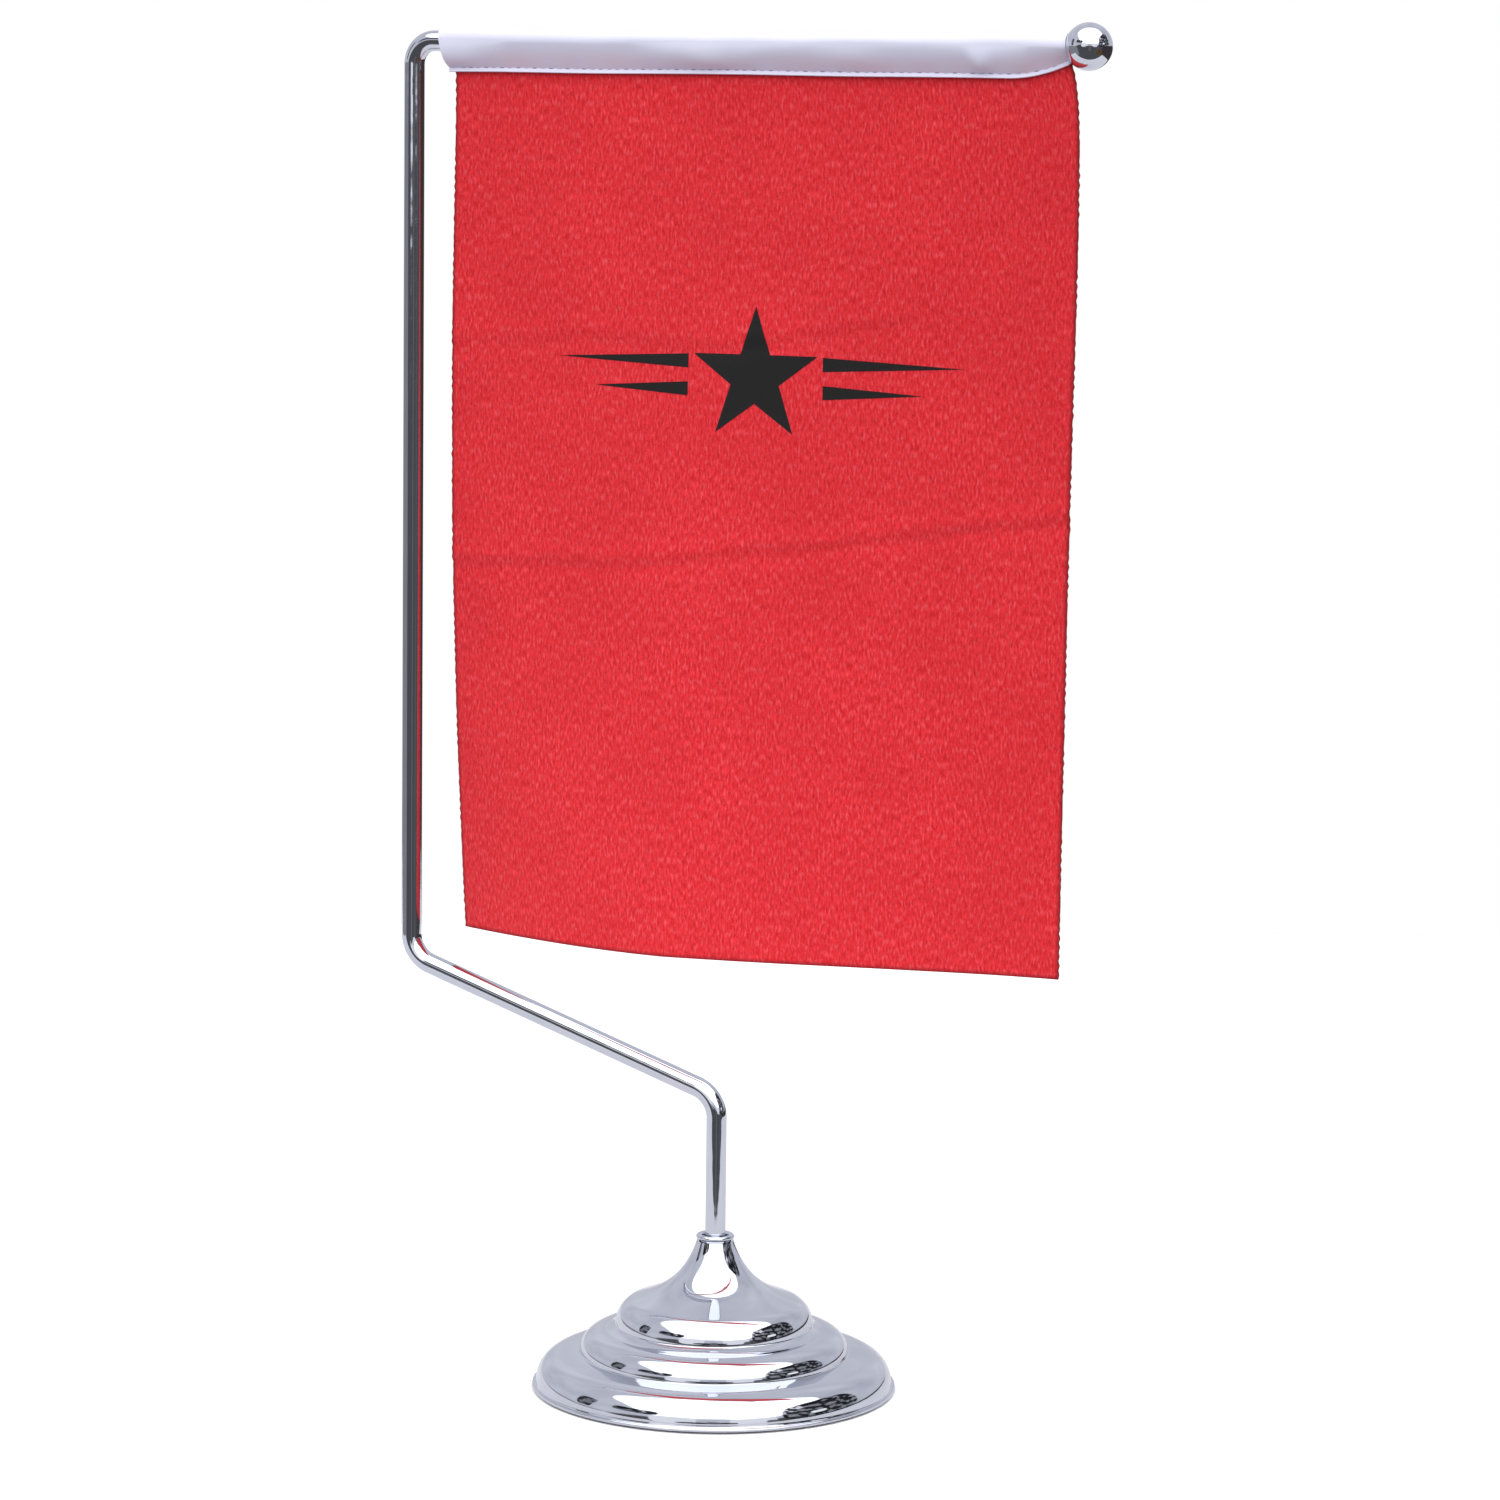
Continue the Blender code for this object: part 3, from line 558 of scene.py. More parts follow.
def brushed_cloth():
    """Brushed polyester twill, dyed red: light and dark flecks, pale pink flecks painted as highlights, with
    a fine weave and a dark cut edge.

    The short pile is combed down the cloth, so its flecks run lengthways. The hot knife melts the edge.
    """
    material, tree, shader = finish_of(
        "brushed_red_polyester", Roughness=0.82, Specular_IOR_Level=0.3, Sheen_Weight=0.15,
        Sheen_Roughness=0.45, Sheen_Tint=linear("FFB4B0"))
    flat = add_node(tree, "ShaderNodeUVMap", uv_map="flat_cloth").outputs["UV"]
    # Flecks of pile 0.5 mm wide and 1.7 mm long; threads 0.3 mm apart are drawn at 0.45 mm to show.
    fleck = (MAP_UNIT / (0.5 * MM), MAP_UNIT / (1.7 * MM), 1)
    thread = (MAP_UNIT / (0.45 * MM), MAP_UNIT / (0.45 * MM), 1)
    fleck_place = add_node(tree, "ShaderNodeMapping", {"Vector": flat, "Scale": fleck})
    flecks = add_node(tree, "ShaderNodeTexNoise", {
        "Vector": fleck_place.outputs["Vector"], "Scale": 1.0, "Detail": 3.0, "Roughness": 0.6})
    thread_place = add_node(tree, "ShaderNodeMapping", {"Vector": flat, "Scale": thread})
    threads = add_node(tree, "ShaderNodeTexNoise", {
        "Vector": thread_place.outputs["Vector"], "Scale": 1.0, "Detail": 1.0})
    # The dye takes unevenly in clouds 25 mm across.
    clouds = add_node(tree, "ShaderNodeTexNoise", {
        "Vector": flat, "Scale": MAP_UNIT / (25 * MM), "Detail": 2.0})
    pile = add_node(tree, "ShaderNodeMapRange", {
        "Value": flecks.outputs["Fac"], "From Min": 0.33, "From Max": 0.67})
    tone = add_node(tree, "ShaderNodeMix", {
        0: pile.outputs["Result"], 6: linear("CC121D"), 7: linear("F4343E")}, data_type="RGBA")
    # Painted highlights: pale pink flecks where pile stands up and catches the light, painted into the
    # colour.
    raised_place = add_node(tree, "ShaderNodeMapping", {
        "Vector": flat, "Scale": fleck, "Location": (31.0, 17.0, 0)})
    raised = add_node(tree, "ShaderNodeTexNoise", {
        "Vector": raised_place.outputs["Vector"], "Scale": 1.0, "Detail": 1.0})
    catch = add_node(tree, "ShaderNodeMapRange", {
        "Value": raised.outputs["Fac"], "From Min": 0.52, "From Max": 0.74, "To Max": 0.5})
    with_painted_glints = add_node(tree, "ShaderNodeMix", {
        0: catch.outputs["Result"], 6: tone.outputs[2], 7: linear("F86A72")}, data_type="RGBA")
    uneven = add_node(tree, "ShaderNodeMapRange", {
        "Value": clouds.outputs["Fac"], "From Min": 0.35, "From Max": 0.65, "To Max": 0.22})
    dyed = add_node(tree, "ShaderNodeMix", {
        0: uneven.outputs["Result"], 6: with_painted_glints.outputs[2], 7: linear("C41A26")}, data_type="RGBA")
    melted = add_node(tree, "ShaderNodeAttribute", attribute_name="melted_edge").outputs["Fac"]
    edged = add_node(tree, "ShaderNodeMix", {
        0: melted, 6: dyed.outputs[2], 7: linear("7A0A12")}, data_type="RGBA")
    height = add_node(tree, "ShaderNodeMath", {
        0: threads.outputs["Fac"], 1: 0.5, 2: flecks.outputs["Fac"]}, operation="MULTIPLY_ADD")
    relief = add_node(tree, "ShaderNodeBump", {
        "Height": height.outputs["Value"], "Strength": 0.7, "Distance": 0.22 * MM})
    link_finish(tree, shader, edged, relief)
    return material


# A place well behind the flag, which its faces look away from.
BEHIND_FLAG = (5 * MM, 100 * MM, 190 * MM)


def flag_cloth():
    """The middle of the cloth as a fine grid, shaped by the way it hangs."""
    form = bmesh.new()
    bmesh.ops.create_grid(form, x_segments=CLOTH_COLUMNS, y_segments=CLOTH_ROWS, size=0.5)
    flat = form.loops.layers.uv.new("flat_cloth")
    melted = form.verts.layers.float.new("melted_edge")
    width, length = (side / MAP_UNIT for side in CLOTH_FLAT)
    for face in form.faces:
        for loop in face.loops:
            loop[flat].uv = ((loop.vert.co.x + 0.5) * width, (loop.vert.co.y + 0.5) * length)
    for vert in form.verts:
        across = vert.co.x + 0.5
        z = CLOTH_BOTTOM + (CLOTH_TOP - CLOTH_BOTTOM) * (vert.co.y + 0.5)
        left, right = cloth_edges(z)
        x = left + (right - left) * across
        side = -1 if across < 1e-6 else 1 if across > 1 - 1e-6 else 0
        if side:
            x += cut_wander(z, side)
        vert[melted] = EDGE_MELT if side or vert.co.y < -0.5 + 1e-6 else 0.0
        vert.co = (x, cloth_depth(x, z), z)
    face_outwards(form, BEHIND_FLAG)
    return form


cloth = piece_from(flag_cloth(), "red_flag_cloth", brushed_cloth(), "flag", ["flag_panel"],
                   wall=CLOTH_THICKNESS, wall_offset=0.0)


# Emblem: a plain motif, a star between two pairs of tapered bars, screen printed in black ink
# on the front. It follows the cloth and stands just proud of it.
EMBLEM_X = 7.5 * MM
EMBLEM_Z = 223.0 * MM
STAR_POINTS = 5
STAR_OUTER = 15.0 * MM
STAR_INNER = 5.8 * MM
# Each bar of a pair: its height from the star's middle, how far out it ends, and half its thickness.
BARS = ((3.0 * MM, 47.0 * MM, 1.5 * MM), (-3.0 * MM, 38.0 * MM, 1.5 * MM))
BAR_START = 15.5 * MM
# The shapes are cut into cells, a little off centre so that no cut runs through a corner.
PRINT_CELL = 1.0 * MM
CELL_SHIFT = 0.01 * MM
PRINT_LIFT = 0.06 * MM
PRINT_THICKNESS = 0.03 * MM


def screen_ink():
    """Matt black screen ink: it fills the pile, so it lies flatter than the cloth, with fine pinholes."""
    material, tree, shader = finish_of("black_screen_ink", Specular_IOR_Level=0.35)
    place = add_node(tree, "ShaderNodeTexCoord").outputs["Object"]
    # The mesh of the screen and the pile below show as grain 0.4 mm across.
    grain = add_node(tree, "ShaderNodeTexNoise", {"Vector": place, "Scale": 1 / (0.4 * MM), "Detail": 3.0})
    tone = add_node(tree, "ShaderNodeMix", {
        0: grain.outputs["Fac"], 6: linear("050506"), 7: linear("1A1717")}, data_type="RGBA")
    gloss = add_node(tree, "ShaderNodeMapRange", {
        "Value": grain.outputs["Fac"], "To Min": 0.55, "To Max": 0.8})
    relief = add_node(tree, "ShaderNodeBump", {
        "Height": grain.outputs["Fac"], "Strength": 0.4, "Distance": 0.1 * MM})
    link_finish(tree, shader, tone, relief, gloss)
    return material


def printed_emblem():
    """Flat shapes cut along a fine grid, so that they bend with the cloth."""
    form = bmesh.new()
    star = []
    for i in range(2 * STAR_POINTS):
        angle = math.pi / 2 + math.pi * i / STAR_POINTS
        reach = STAR_OUTER if i % 2 == 0 else STAR_INNER
        star.append((reach * math.cos(angle), 0, reach * math.sin(angle)))
    shapes = [star]
    for side in (-1, 1):
        for height, end, half in BARS:
            start = side * BAR_START
            shapes.append([(start, 0, height + half), (start, 0, height - half), (side * end, 0, height)])
    for shape in shapes:
        form.faces.new([form.verts.new(point) for point in shape])
    widest = max(end for _, end, _ in BARS)
    for normal, limit in (((1, 0, 0), widest), ((0, 0, 1), STAR_OUTER)):
        for i in range(-int(limit / PRINT_CELL), int(limit / PRINT_CELL) + 1):
            geometry = list(form.verts) + list(form.edges) + list(form.faces)
            bmesh.ops.bisect_plane(form, geom=geometry, dist=1e-7, plane_no=normal,
                                   plane_co=Vector(normal) * (i * PRINT_CELL + CELL_SHIFT))
    for vert in form.verts:
        x, z = vert.co.x + EMBLEM_X, vert.co.z + EMBLEM_Z
        vert.co = (x, cloth_depth(x, z) - CLOTH_THICKNESS / 2 - PRINT_LIFT, z)
    face_outwards(form, BEHIND_FLAG)
    bmesh.ops.solidify(form, geom=form.faces, thickness=PRINT_THICKNESS)
    return form


emblem = piece_from(printed_emblem(), "printed_emblem", screen_ink(), "flag")


# Sleeve: a strip of white satin folded over the rod and sewn through itself and the cloth.
# It is slack, so it rolls over in soft ridges above the seam, and its ends are cut out of square.
sleeve_low, sleeve_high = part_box("sleeve")
SLEEVE_LEFT = sleeve_low.x
SLEEVE_RIGHT = sleeve_high.x + 0.65 * MM
SATIN_FLAT = (0.1454, 0.024)
SATIN_THICKNESS = 0.25 * MM
SLEEVE_COLUMNS = 290
SLEEVE_ROWS = 84
# How far the middle of the satin stands from the rod's middle, in front and behind, and above.
SATIN_REACH = 2.70 * MM
CROWN_REACH = 2.45 * MM
# Shares of the way from the crown to the lower edge: where the crown ends, and where the stitches are.
CROWN_SHARE = 0.42
STITCH_SHARE = 0.87
STITCH_RISE = 0.90 * MM
STITCH_DEPTH = 0.50 * MM
HEM_FLARE = 0.65 * MM
# How far below the rod's middle the satin rolls over, along the front, in millimetres.
ROLL_LINE = ((-69, 3.4), (-63, 3.2), (-57, 1.6), (-51, 0.2), (-38, 0.2), (-24, 0.4), (-12, 2.2),
             (-4, 3.2), (3, 2.2), (12, 1.2), (30, 1.5), (45, 0.9), (54, 0.9), (58, 3.8), (62, 1.8),
             (66, 1.4), (70, 0.2), (78, 0.2))
ROLL_LOWEST = 3.4 * MM
ROLL_CLEARANCE = 0.9 * MM
# Along the back it rolls over this far down, give or take a slow drift.
BACK_ROLL = 1.5
BACK_DRIFT = 1.3
# Between crown and stitches the satin bulges out and turns in: how far each guide of that curve lies
# out and up, and what a roll at its lowest adds to it.
BULGE_OUT = 0.8 * MM
BULGE_DROP = 0.5 * MM
BULGE_FOLLOW = 1.1
TUCK_OUT = (0.9 * MM, -0.1 * MM)
TUCK_UP = (1.7 * MM, -1.0 * MM)
# How far the loose crown stands off the rod, along it, in millimetres.
CROWN_LIFT = ((-70, 0.0), (-66, 0.5), (-50, 0.3), (-30, 0.0), (45, 0.0), (60, 0.2), (78, 0.1))
# The ends are cut out of square: how far the lower edge is set over at each, and how fast it dies away.
LEFT_LEAN = (2.4 * MM, 30)
RIGHT_LEAN = (0.7 * MM, 12)
# The lower edge turns up beside the ball: where it starts, over what length, and by how much.
TURN_UP = (64.0 * MM, 13.5 * MM, 3.2 * MM)
EDGE_WANDER = 0.2 * MM
RUMPLE = 0.20 * MM
PUCKER = 0.10 * MM
PUCKER_SHARE = 0.84
PUCKER_FADE = 14
# The satin is tinted darker pink from this share of the way down, and fully after the next one. This is
# partly the cloth inside showing through, and partly painted shade and painted red light bounced from the
# cloth.
TINT_FROM = 0.55
TINT_OVER = 0.2


def white_satin():
    """Woven polyester satin: white with a cool cast, and smooth floats that shine.

    Towards the seam it is tinted darker pink. This is partly the red cloth showing through where it is sewn
    in, and partly painted shade and painted red light bounced from the cloth.
    """
    material, tree, shader = finish_of(
        "white_polyester_satin", Specular_IOR_Level=0.3, Sheen_Weight=0.1, Sheen_Roughness=0.3)
    flat = add_node(tree, "ShaderNodeUVMap", uv_map="flat_satin").outputs["UV"]
    # Floats 0.12 mm wide are drawn at 0.3 mm to show; slubs run 4 mm along the strip.
    weave = (MAP_UNIT / (4 * MM), MAP_UNIT / (0.3 * MM), 1)
    floats_place = add_node(tree, "ShaderNodeMapping", {"Vector": flat, "Scale": weave})
    floats = add_node(tree, "ShaderNodeTexNoise", {
        "Vector": floats_place.outputs["Vector"], "Scale": 1.0, "Detail": 2.0})
    clouds = add_node(tree, "ShaderNodeTexNoise", {
        "Vector": flat, "Scale": MAP_UNIT / (12 * MM), "Detail": 2.0})
    tone = add_node(tree, "ShaderNodeMix", {
        0: clouds.outputs["Fac"], 6: linear("D6D7EA"), 7: linear("DFDEEE")}, data_type="RGBA")
    # Darker pink towards the seam: the cloth showing through, with painted shade and painted red bounce
    # light.
    show_through_and_shade = add_node(tree, "ShaderNodeAttribute", attribute_name="show_through_and_shade").outputs["Fac"]
    patchy = add_node(tree, "ShaderNodeMath", {
        0: show_through_and_shade, 1: clouds.outputs["Fac"]}, operation="MULTIPLY")
    tinted = add_node(tree, "ShaderNodeMix", {
        0: patchy.outputs["Value"], 6: tone.outputs[2], 7: linear("D8B4C6")}, data_type="RGBA")
    gloss = add_node(tree, "ShaderNodeMapRange", {
        "Value": floats.outputs["Fac"], "To Min": 0.34, "To Max": 0.5})
    relief = add_node(tree, "ShaderNodeBump", {
        "Height": floats.outputs["Fac"], "Strength": 0.3, "Distance": 0.04 * MM})
    link_finish(tree, shader, tinted, relief, gloss)
    return material


def eased(run, place):
    """A value read from a run of (place, value) pairs, eased between them."""
    for (p0, v0), (p1, v1) in zip(run, run[1:]):
        if place <= p1:
            share = min(max((place - p0) / (p1 - p0), 0.0), 1.0)
            return v0 + (v1 - v0) * share * share * (3 - 2 * share)
    return run[-1][1]


def seam_line(x):
    """The height of the sleeve's lower edge: nearly level, then turned up beside the ball."""
    start, length, height = TURN_UP
    rise = max(x - start, 0.0) / length
    return SEAM_Z + EDGE_WANDER * noise.noise(Vector((x / (30 * MM), 1.7, 0))) + height * rise * rise


def roll_depth(x, side):
    """How far below the rod's middle the satin rolls over, in front or behind."""
    if side < 0:
        return eased(ROLL_LINE, x / MM) * MM
    return (BACK_ROLL + BACK_DRIFT * noise.noise(Vector((x / (22 * MM), 9.1, 0)))) * MM


def satin_place(along, round_share):
    """A point of the strip, and its share of the way from the crown down to the lower edge.

    It lies along the rod from 0 to 1, and round it from 0 at the front edge to 1 at the back edge.
    """
    side = -1 if round_share < 0.5 else 1
    share = abs(round_share - 0.5) * 2
    rod_x = SLEEVE_LEFT + (SLEEVE_RIGHT - SLEEVE_LEFT) * along
    edge = seam_line(rod_x) - ROD_Z
    stitch = edge + STITCH_RISE
    roll = min(roll_depth(rod_x, side), -stitch - ROLL_CLEARANCE)
    if share < CROWN_SHARE:
        angle = math.pi / 2 * share / CROWN_SHARE
        lift = eased(CROWN_LIFT, rod_x / MM) * MM
        y, z = SATIN_REACH * math.sin(angle), (CROWN_REACH + lift) * math.cos(angle)
    elif share < STITCH_SHARE:
        low = roll / ROLL_LOWEST
        guides = (
            (SATIN_REACH, 0.0),
            (SATIN_REACH + BULGE_OUT * low, -BULGE_DROP - BULGE_FOLLOW * roll),
            (STITCH_DEPTH + TUCK_OUT[0] + TUCK_OUT[1] * low, stitch + TUCK_UP[0] + TUCK_UP[1] * low),
            (STITCH_DEPTH, stitch),
        )
        y, z = smooth_curve(guides, (share - CROWN_SHARE) / (STITCH_SHARE - CROWN_SHARE))
    else:
        hem = (share - STITCH_SHARE) / (1 - STITCH_SHARE)
        y, z = STITCH_DEPTH + HEM_FLARE * hem, stitch - STITCH_RISE * hem
    down = min(max((SATIN_REACH - z) / (SATIN_REACH - edge), 0.0), 1.0)
    lean = LEFT_LEAN[0] * (1 - along) ** LEFT_LEAN[1] + RIGHT_LEAN[0] * along ** RIGHT_LEAN[1]
    x = rod_x + down * lean
    # Small puckers run up from the stitches, and the slack rumples a little.
    loose = math.sin(math.pi * min(share / STITCH_SHARE, 1.0))
    rumple = RUMPLE * (noise.noise(Vector((x / (11 * MM), z / (4 * MM), side * 4.0))) + 0.5)
    pucker = PUCKER * noise.noise(Vector((x / (2.8 * MM), side * 7.0, 0)))
    out = loose * rumple + pucker * math.exp(-abs(share - PUCKER_SHARE) * PUCKER_FADE)
    return Vector((x, side * (y + out), ROD_Z + z)), share


def satin_strip():
    """The middle of the strip as a fine grid along and round the rod."""
    form = bmesh.new()
    bmesh.ops.create_grid(form, x_segments=SLEEVE_COLUMNS, y_segments=SLEEVE_ROWS, size=0.5)
    flat = form.loops.layers.uv.new("flat_satin")
    show_through_and_shade = form.verts.layers.float.new("show_through_and_shade")
    length, width = (side / MAP_UNIT for side in SATIN_FLAT)
    for face in form.faces:
        for loop in face.loops:
            loop[flat].uv = ((loop.vert.co.x + 0.5) * length, (loop.vert.co.y + 0.5) * width)
    for vert in form.verts:
        vert.co, share = satin_place(vert.co.x + 0.5, vert.co.y + 0.5)
        # Mask of the darker pink tint: the cloth showing through, with painted shade and painted red bounce
        # light.
        near = min(max((share - TINT_FROM) / TINT_OVER, 0.0), 1.0)
        vert[show_through_and_shade] = near if share < STITCH_SHARE else 0.0
    face_outwards(form, (3 * MM, 0, ROD_Z))
    return form


sleeve = piece_from(satin_strip(), "white_satin_sleeve", white_satin(), "flag", ["sleeve"],
                    wall=SATIN_THICKNESS, wall_offset=0.0)


# Seam: a lockstitch in fine white thread, 2 mm long, that closes the sleeve and holds the cloth.
# Each stitch lies in the groove that it pulls into the satin, front and back.
STITCH_PITCH = 2.0 * MM
STITCH_LENGTH = 1.3 * MM
THREAD_RADIUS = 0.16 * MM
# The middle of the thread stands this far in front of the satin's face, so its back is sunk in.
THREAD_PROUD = 0.04 * MM
FIRST_STITCH = 5.0 * MM
UNSEWN = 6 * MM
# A stitch tilts towards a place this share of the seam further on.
TILT_STEP = 0.002


def sewing_thread():
    """Spun polyester thread: white, but coloured mauve grey all over as painted shade of its needle holes and
    of the grooves it sinks into in the satin.
    """
    material, tree, shader = finish_of("thread_in_painted_shade", Roughness=0.7, Sheen_Weight=0.2)
    place = add_node(tree, "ShaderNodeTexCoord").outputs["Object"]
    # The twist is too fine to show. It is drawn as bands 3.8 mm apart along the seam, so that some
    # stitches are lighter. Diagonal bands are twice as far apart as those along one axis.
    twist = add_node(tree, "ShaderNodeTexWave", {
        "Vector": place, "Scale": 2 * BAND_LENGTH / (3.77 * MM), "Distortion": 0.5},
        bands_direction="DIAGONAL")
    # Painted shade: the white thread is drawn mauve grey, the tone its needle holes and grooves take in
    # shade.
    tone = add_node(tree, "ShaderNodeMix", {
        0: twist.outputs["Fac"], 6: linear("94859C"), 7: linear("C2B8CC")}, data_type="RGBA")
    relief = add_node(tree, "ShaderNodeBump", {
        "Height": twist.outputs["Fac"], "Strength": 0.6, "Distance": 0.04 * MM})
    link_finish(tree, shader, tone, relief)
    return material


def stitch_row(side):
    """One side's row of stitches, each a small rounded length of thread along the seam."""
    form = bmesh.new()
    length = SLEEVE_RIGHT - SLEEVE_LEFT
    share = 0.5 + side * STITCH_SHARE / 2
    for i in range(int((length - UNSEWN) / STITCH_PITCH)):
        along = (FIRST_STITCH + i * STITCH_PITCH) / length
        here = satin_place(along, share)[0]
        ahead = satin_place(along + TILT_STEP, share)[0]
        tilt = math.atan2(ahead.z - here.z, ahead.x - here.x)
        place = Matrix.Translation(here + Vector((0, side * (SATIN_THICKNESS / 2 + THREAD_PROUD), 0)))
        stretch = Matrix.Diagonal((STITCH_LENGTH / 2, THREAD_RADIUS, THREAD_RADIUS, 1))
        bmesh.ops.create_uvsphere(form, u_segments=8, v_segments=5, radius=1,
                                  matrix=place @ Matrix.Rotation(-tilt, 4, "Y") @ stretch)
    return form


THREAD = sewing_thread()
stitches = [
    piece_from(stitch_row(side), name, THREAD, "flag", [node], sharp=180)
    for side, name, node in ((-1, "seam_stitches_front", "seam_thread_front"),
                             (1, "seam_stitches_back", "seam_thread_back"))
]


# Studio: a pale matt table top under a white scrim, with the dark end of the room in front.
# The chrome mirrors all three; a camera sees plain white beyond the table.
CAMERA_AZIMUTH = 24.05
TABLE_FRONT = 0.172
TABLE_BACK = 0.60
TABLE_SIDE = 0.55
TABLE_GAP = 0.05 * MM
floor_form = bmesh.new()
bmesh.ops.create_grid(floor_form, x_segments=1, y_segments=1, size=1)
for vert in floor_form.verts:
    vert.co = (vert.co.x * TABLE_SIDE, TABLE_BACK if vert.co.y > 0 else -TABLE_FRONT, -TABLE_GAP)
bmesh.ops.rotate(floor_form, verts=floor_form.verts,
                 matrix=Matrix.Rotation(math.radians(CAMERA_AZIMUTH), 3, "Z"))
floor_mesh = bpy.data.meshes.new("table_top")
floor_form.to_mesh(floor_mesh)
floor_form.free()
floor = bpy.data.objects.new("table_top", floor_mesh)
bpy.context.scene.collection.objects.link(floor)
floor_finish, floor_tree, floor_shader = finish_of("matt_white_board", Roughness=0.9, Specular_IOR_Level=0.1)
floor_place = add_node(floor_tree, "ShaderNodeTexCoord").outputs["Object"]
floor_grain = add_node(floor_tree, "ShaderNodeTexNoise", {
    "Vector": floor_place, "Scale": 1 / (20 * MM), "Detail": 2.0})
floor_tone = add_node(floor_tree, "ShaderNodeMix", {
    0: floor_grain.outputs["Fac"], 6: linear("D0D0D2"), 7: linear("D6D6D8")}, data_type="RGBA")
# The camera sees the board bleached to white; the stand sees it as it is.
bleached = add_node(floor_tree, "ShaderNodeMix", {
    0: add_node(floor_tree, "ShaderNodeLightPath").outputs["Is Camera Ray"],
    6: floor_tone.outputs[2], 7: linear("FCFCFC")}, data_type="RGBA")
floor_tree.links.new(bleached.outputs[2], floor_shader.inputs["Base Color"])
floor_mesh.materials.append(floor_finish)

# Parts of the room, each a rounded box in the directions (right, away, up) of someone facing the
# stand: its middle, its half widths, the width of its soft edge, how cluttered it is, its brightness.
ROOM = (
    # The scrim, overhead and in front.
    ((0.03, -0.45, 0.74), (0.76, 0.64, 0.58), 0.08, 0, (2.4, 2.4, 2.45)),
    # The dark room below the table's front edge, then darker to the right and paler to the left.
    ((0.0, -0.55, -0.45), (1.05, 0.50, 0.62), 0.12, 0, (0.10, 0.10, 0.105)),
    ((0.75, 0.30, -0.30), (0.60, 0.75, 0.34), 0.15, 0, (0.06, 0.05, 0.05)),
    ((-0.80, 0.20, -0.30), (0.50, 0.70, 0.33), 0.20, 0, (0.30, 0.30, 0.32)),
    # Two bright patches of wall at eye level, right and left.
    ((0.42, -0.90, 0.10), (0.24, 0.30, 0.12), 0.20, 0, (1.1, 1.1, 1.15)),
    ((-0.42, -0.90, 0.12), (0.24, 0.30, 0.15), 0.20, 0, (1.1, 1.1, 1.15)),
    # Dark, cluttered shelves to the right, to the left in front, and to the left.
    ((0.86, -0.22, 0.34), (0.21, 0.52, 0.36), 0.10, 0.45, (0.02, 0.02, 0.025)),
    ((-0.74, -0.56, 0.36), (0.22, 0.24, 0.10), 0.10, 0.3, (0.02, 0.02, 0.025)),
    ((-0.97, 0.02, 0.26), (0.10, 0.12, 0.20), 0.10, 0.3, (0.03, 0.03, 0.035)),
    # A dark strip along the far side of the room, and a small lamp.
    ((-0.06, -0.99, 0.020), (0.34, 0.30, 0.030), 0.15, 0.3, (0.02, 0.02, 0.02)),
    ((0.93, -0.30, 0.19), (0.05, 0.10, 0.05), 0.30, 0, (1.3, 1.3, 1.3)),
    # Grey uprights and a brown chest in the dark below.
    ((0.0, -0.98, -0.14), (0.09, 0.30, 0.22), 0.60, 0, (0.17, 0.17, 0.19)),
    ((0.62, -0.78, -0.14), (0.06, 0.30, 0.22), 0.60, 0, (0.14, 0.14, 0.16)),
    ((0.70, -0.60, -0.40), (0.16, 0.40, 0.18), 0.40, 0, (0.14, 0.075, 0.03)),
)
WALLS = ((0.45, 0.46, 0.54, 1.0), (1.0, 1.0, 1.06, 1.0))


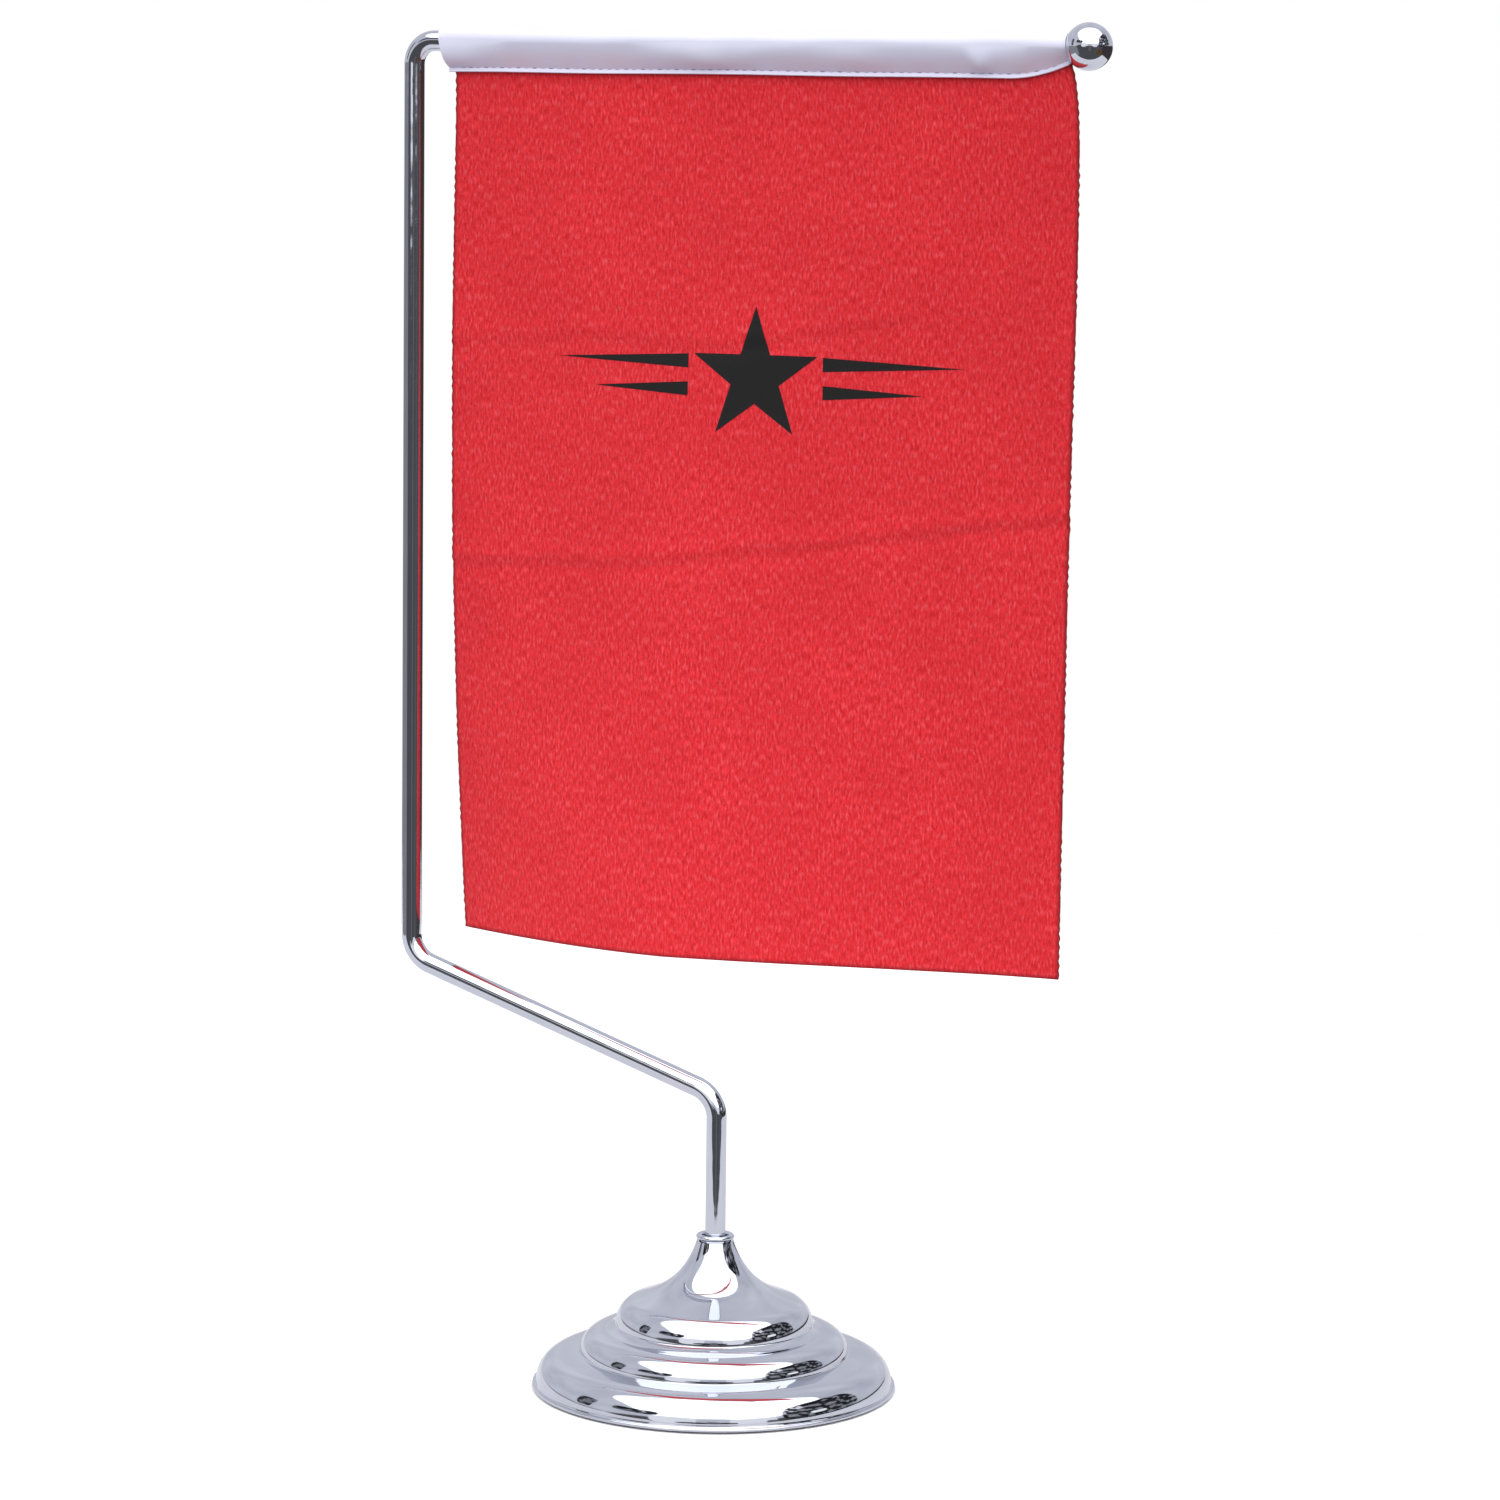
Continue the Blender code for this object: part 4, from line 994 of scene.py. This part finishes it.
def room_light():
    """Light the scene from a world that is white to the camera and a soft studio to everything else."""
    world = bpy.data.worlds.new("studio")
    world.use_nodes = True
    tree = world.node_tree
    tree.nodes.clear()
    way = add_node(tree, "ShaderNodeTexCoord").outputs["Generated"]
    turned = add_node(tree, "ShaderNodeVectorRotate", {
        "Vector": way, "Axis": (0, 0, 1), "Angle": math.radians(-CAMERA_AZIMUTH)}, rotation_type="AXIS_ANGLE")
    # Far walls in soft grey drifts, and the small things that break up a cluttered part.
    drifts = add_node(tree, "ShaderNodeTexNoise", {
        "Vector": turned.outputs["Vector"], "Scale": 2.2, "Detail": 2.0})
    colour = add_node(tree, "ShaderNodeMix", {
        0: drifts.outputs["Fac"], 6: WALLS[0], 7: WALLS[1]}, data_type="RGBA").outputs[2]
    things = add_node(tree, "ShaderNodeTexNoise", {
        "Vector": turned.outputs["Vector"], "Scale": 9.0, "Detail": 2.0})
    gaps = add_node(tree, "ShaderNodeMapRange", {
        "Value": things.outputs["Fac"], "From Min": 0.50, "From Max": 0.58})
    for middle, half, soft, clutter, bright in ROOM:
        offset = add_node(tree, "ShaderNodeVectorMath", {
            0: turned.outputs["Vector"], 1: middle}, operation="SUBTRACT")
        scaled = add_node(tree, "ShaderNodeVectorMath", {
            0: offset.outputs["Vector"], 1: half}, operation="DIVIDE")
        square = add_node(tree, "ShaderNodeVectorMath", {
            0: scaled.outputs["Vector"], 1: scaled.outputs["Vector"]}, operation="MULTIPLY")
        length = add_node(tree, "ShaderNodeVectorMath", {0: square.outputs["Vector"]}, operation="LENGTH")
        inside = add_node(tree, "ShaderNodeMapRange", {
            "Value": length.outputs["Value"], "From Min": 1.0 + soft / 2, "From Max": 1.0 - soft / 2},
            interpolation_type="SMOOTHSTEP")
        kept = add_node(tree, "ShaderNodeMath", {
            0: gaps.outputs["Result"], 1: -clutter, 2: 1.0}, operation="MULTIPLY_ADD")
        share = add_node(tree, "ShaderNodeMath", {
            0: inside.outputs["Result"], 1: kept.outputs["Value"]}, operation="MULTIPLY")
        colour = add_node(tree, "ShaderNodeMix", {
            0: share.outputs["Value"], 6: colour, 7: (*bright, 1.0)}, data_type="RGBA").outputs[2]
    lit = add_node(tree, "ShaderNodeBackground", {"Color": colour, "Strength": 1.0})
    plain = add_node(tree, "ShaderNodeBackground", {"Color": (1, 1, 1, 1), "Strength": 1.0})
    seen = add_node(tree, "ShaderNodeLightPath").outputs["Is Camera Ray"]
    both = add_node(tree, "ShaderNodeMixShader", {0: seen, 1: lit.outputs[0], 2: plain.outputs[0]})
    add_node(tree, "ShaderNodeOutputWorld", {"Surface": both.outputs[0]})
    bpy.context.scene.world = world


room_light()


# Camera: a long lens about a metre away, on the ball's side of the stand's front and looking down
# a little. It aims just right of the stand's axis, about halfway up.
CAMERA_PITCH = 7.63
CAMERA_ROLL = 0.72
CAMERA_DISTANCE = 1.079
CAMERA_LENS = 119.3
CAMERA_AIM = (6.3 * MM, 141.8 * MM)
camera_data = bpy.data.cameras.new("camera")
camera_data.lens = CAMERA_LENS
camera_data.sensor_width = 36
camera_data.clip_start = 0.05
camera = bpy.data.objects.new("camera", camera_data)
bpy.context.scene.collection.objects.link(camera)
facing = Matrix.Rotation(math.radians(CAMERA_AZIMUTH), 4, "Z")
aim = facing @ Vector((CAMERA_AIM[0], 0, CAMERA_AIM[1]))
camera.matrix_world = (
    Matrix.Translation(aim) @ facing
    @ Matrix.Rotation(math.radians(90 - CAMERA_PITCH), 4, "X")
    @ Matrix.Rotation(math.radians(CAMERA_ROLL), 4, "Z")
    @ Matrix.Translation((0, 0, CAMERA_DISTANCE))
)
bpy.context.scene.camera = camera
bpy.context.scene.view_settings.view_transform = "Standard"
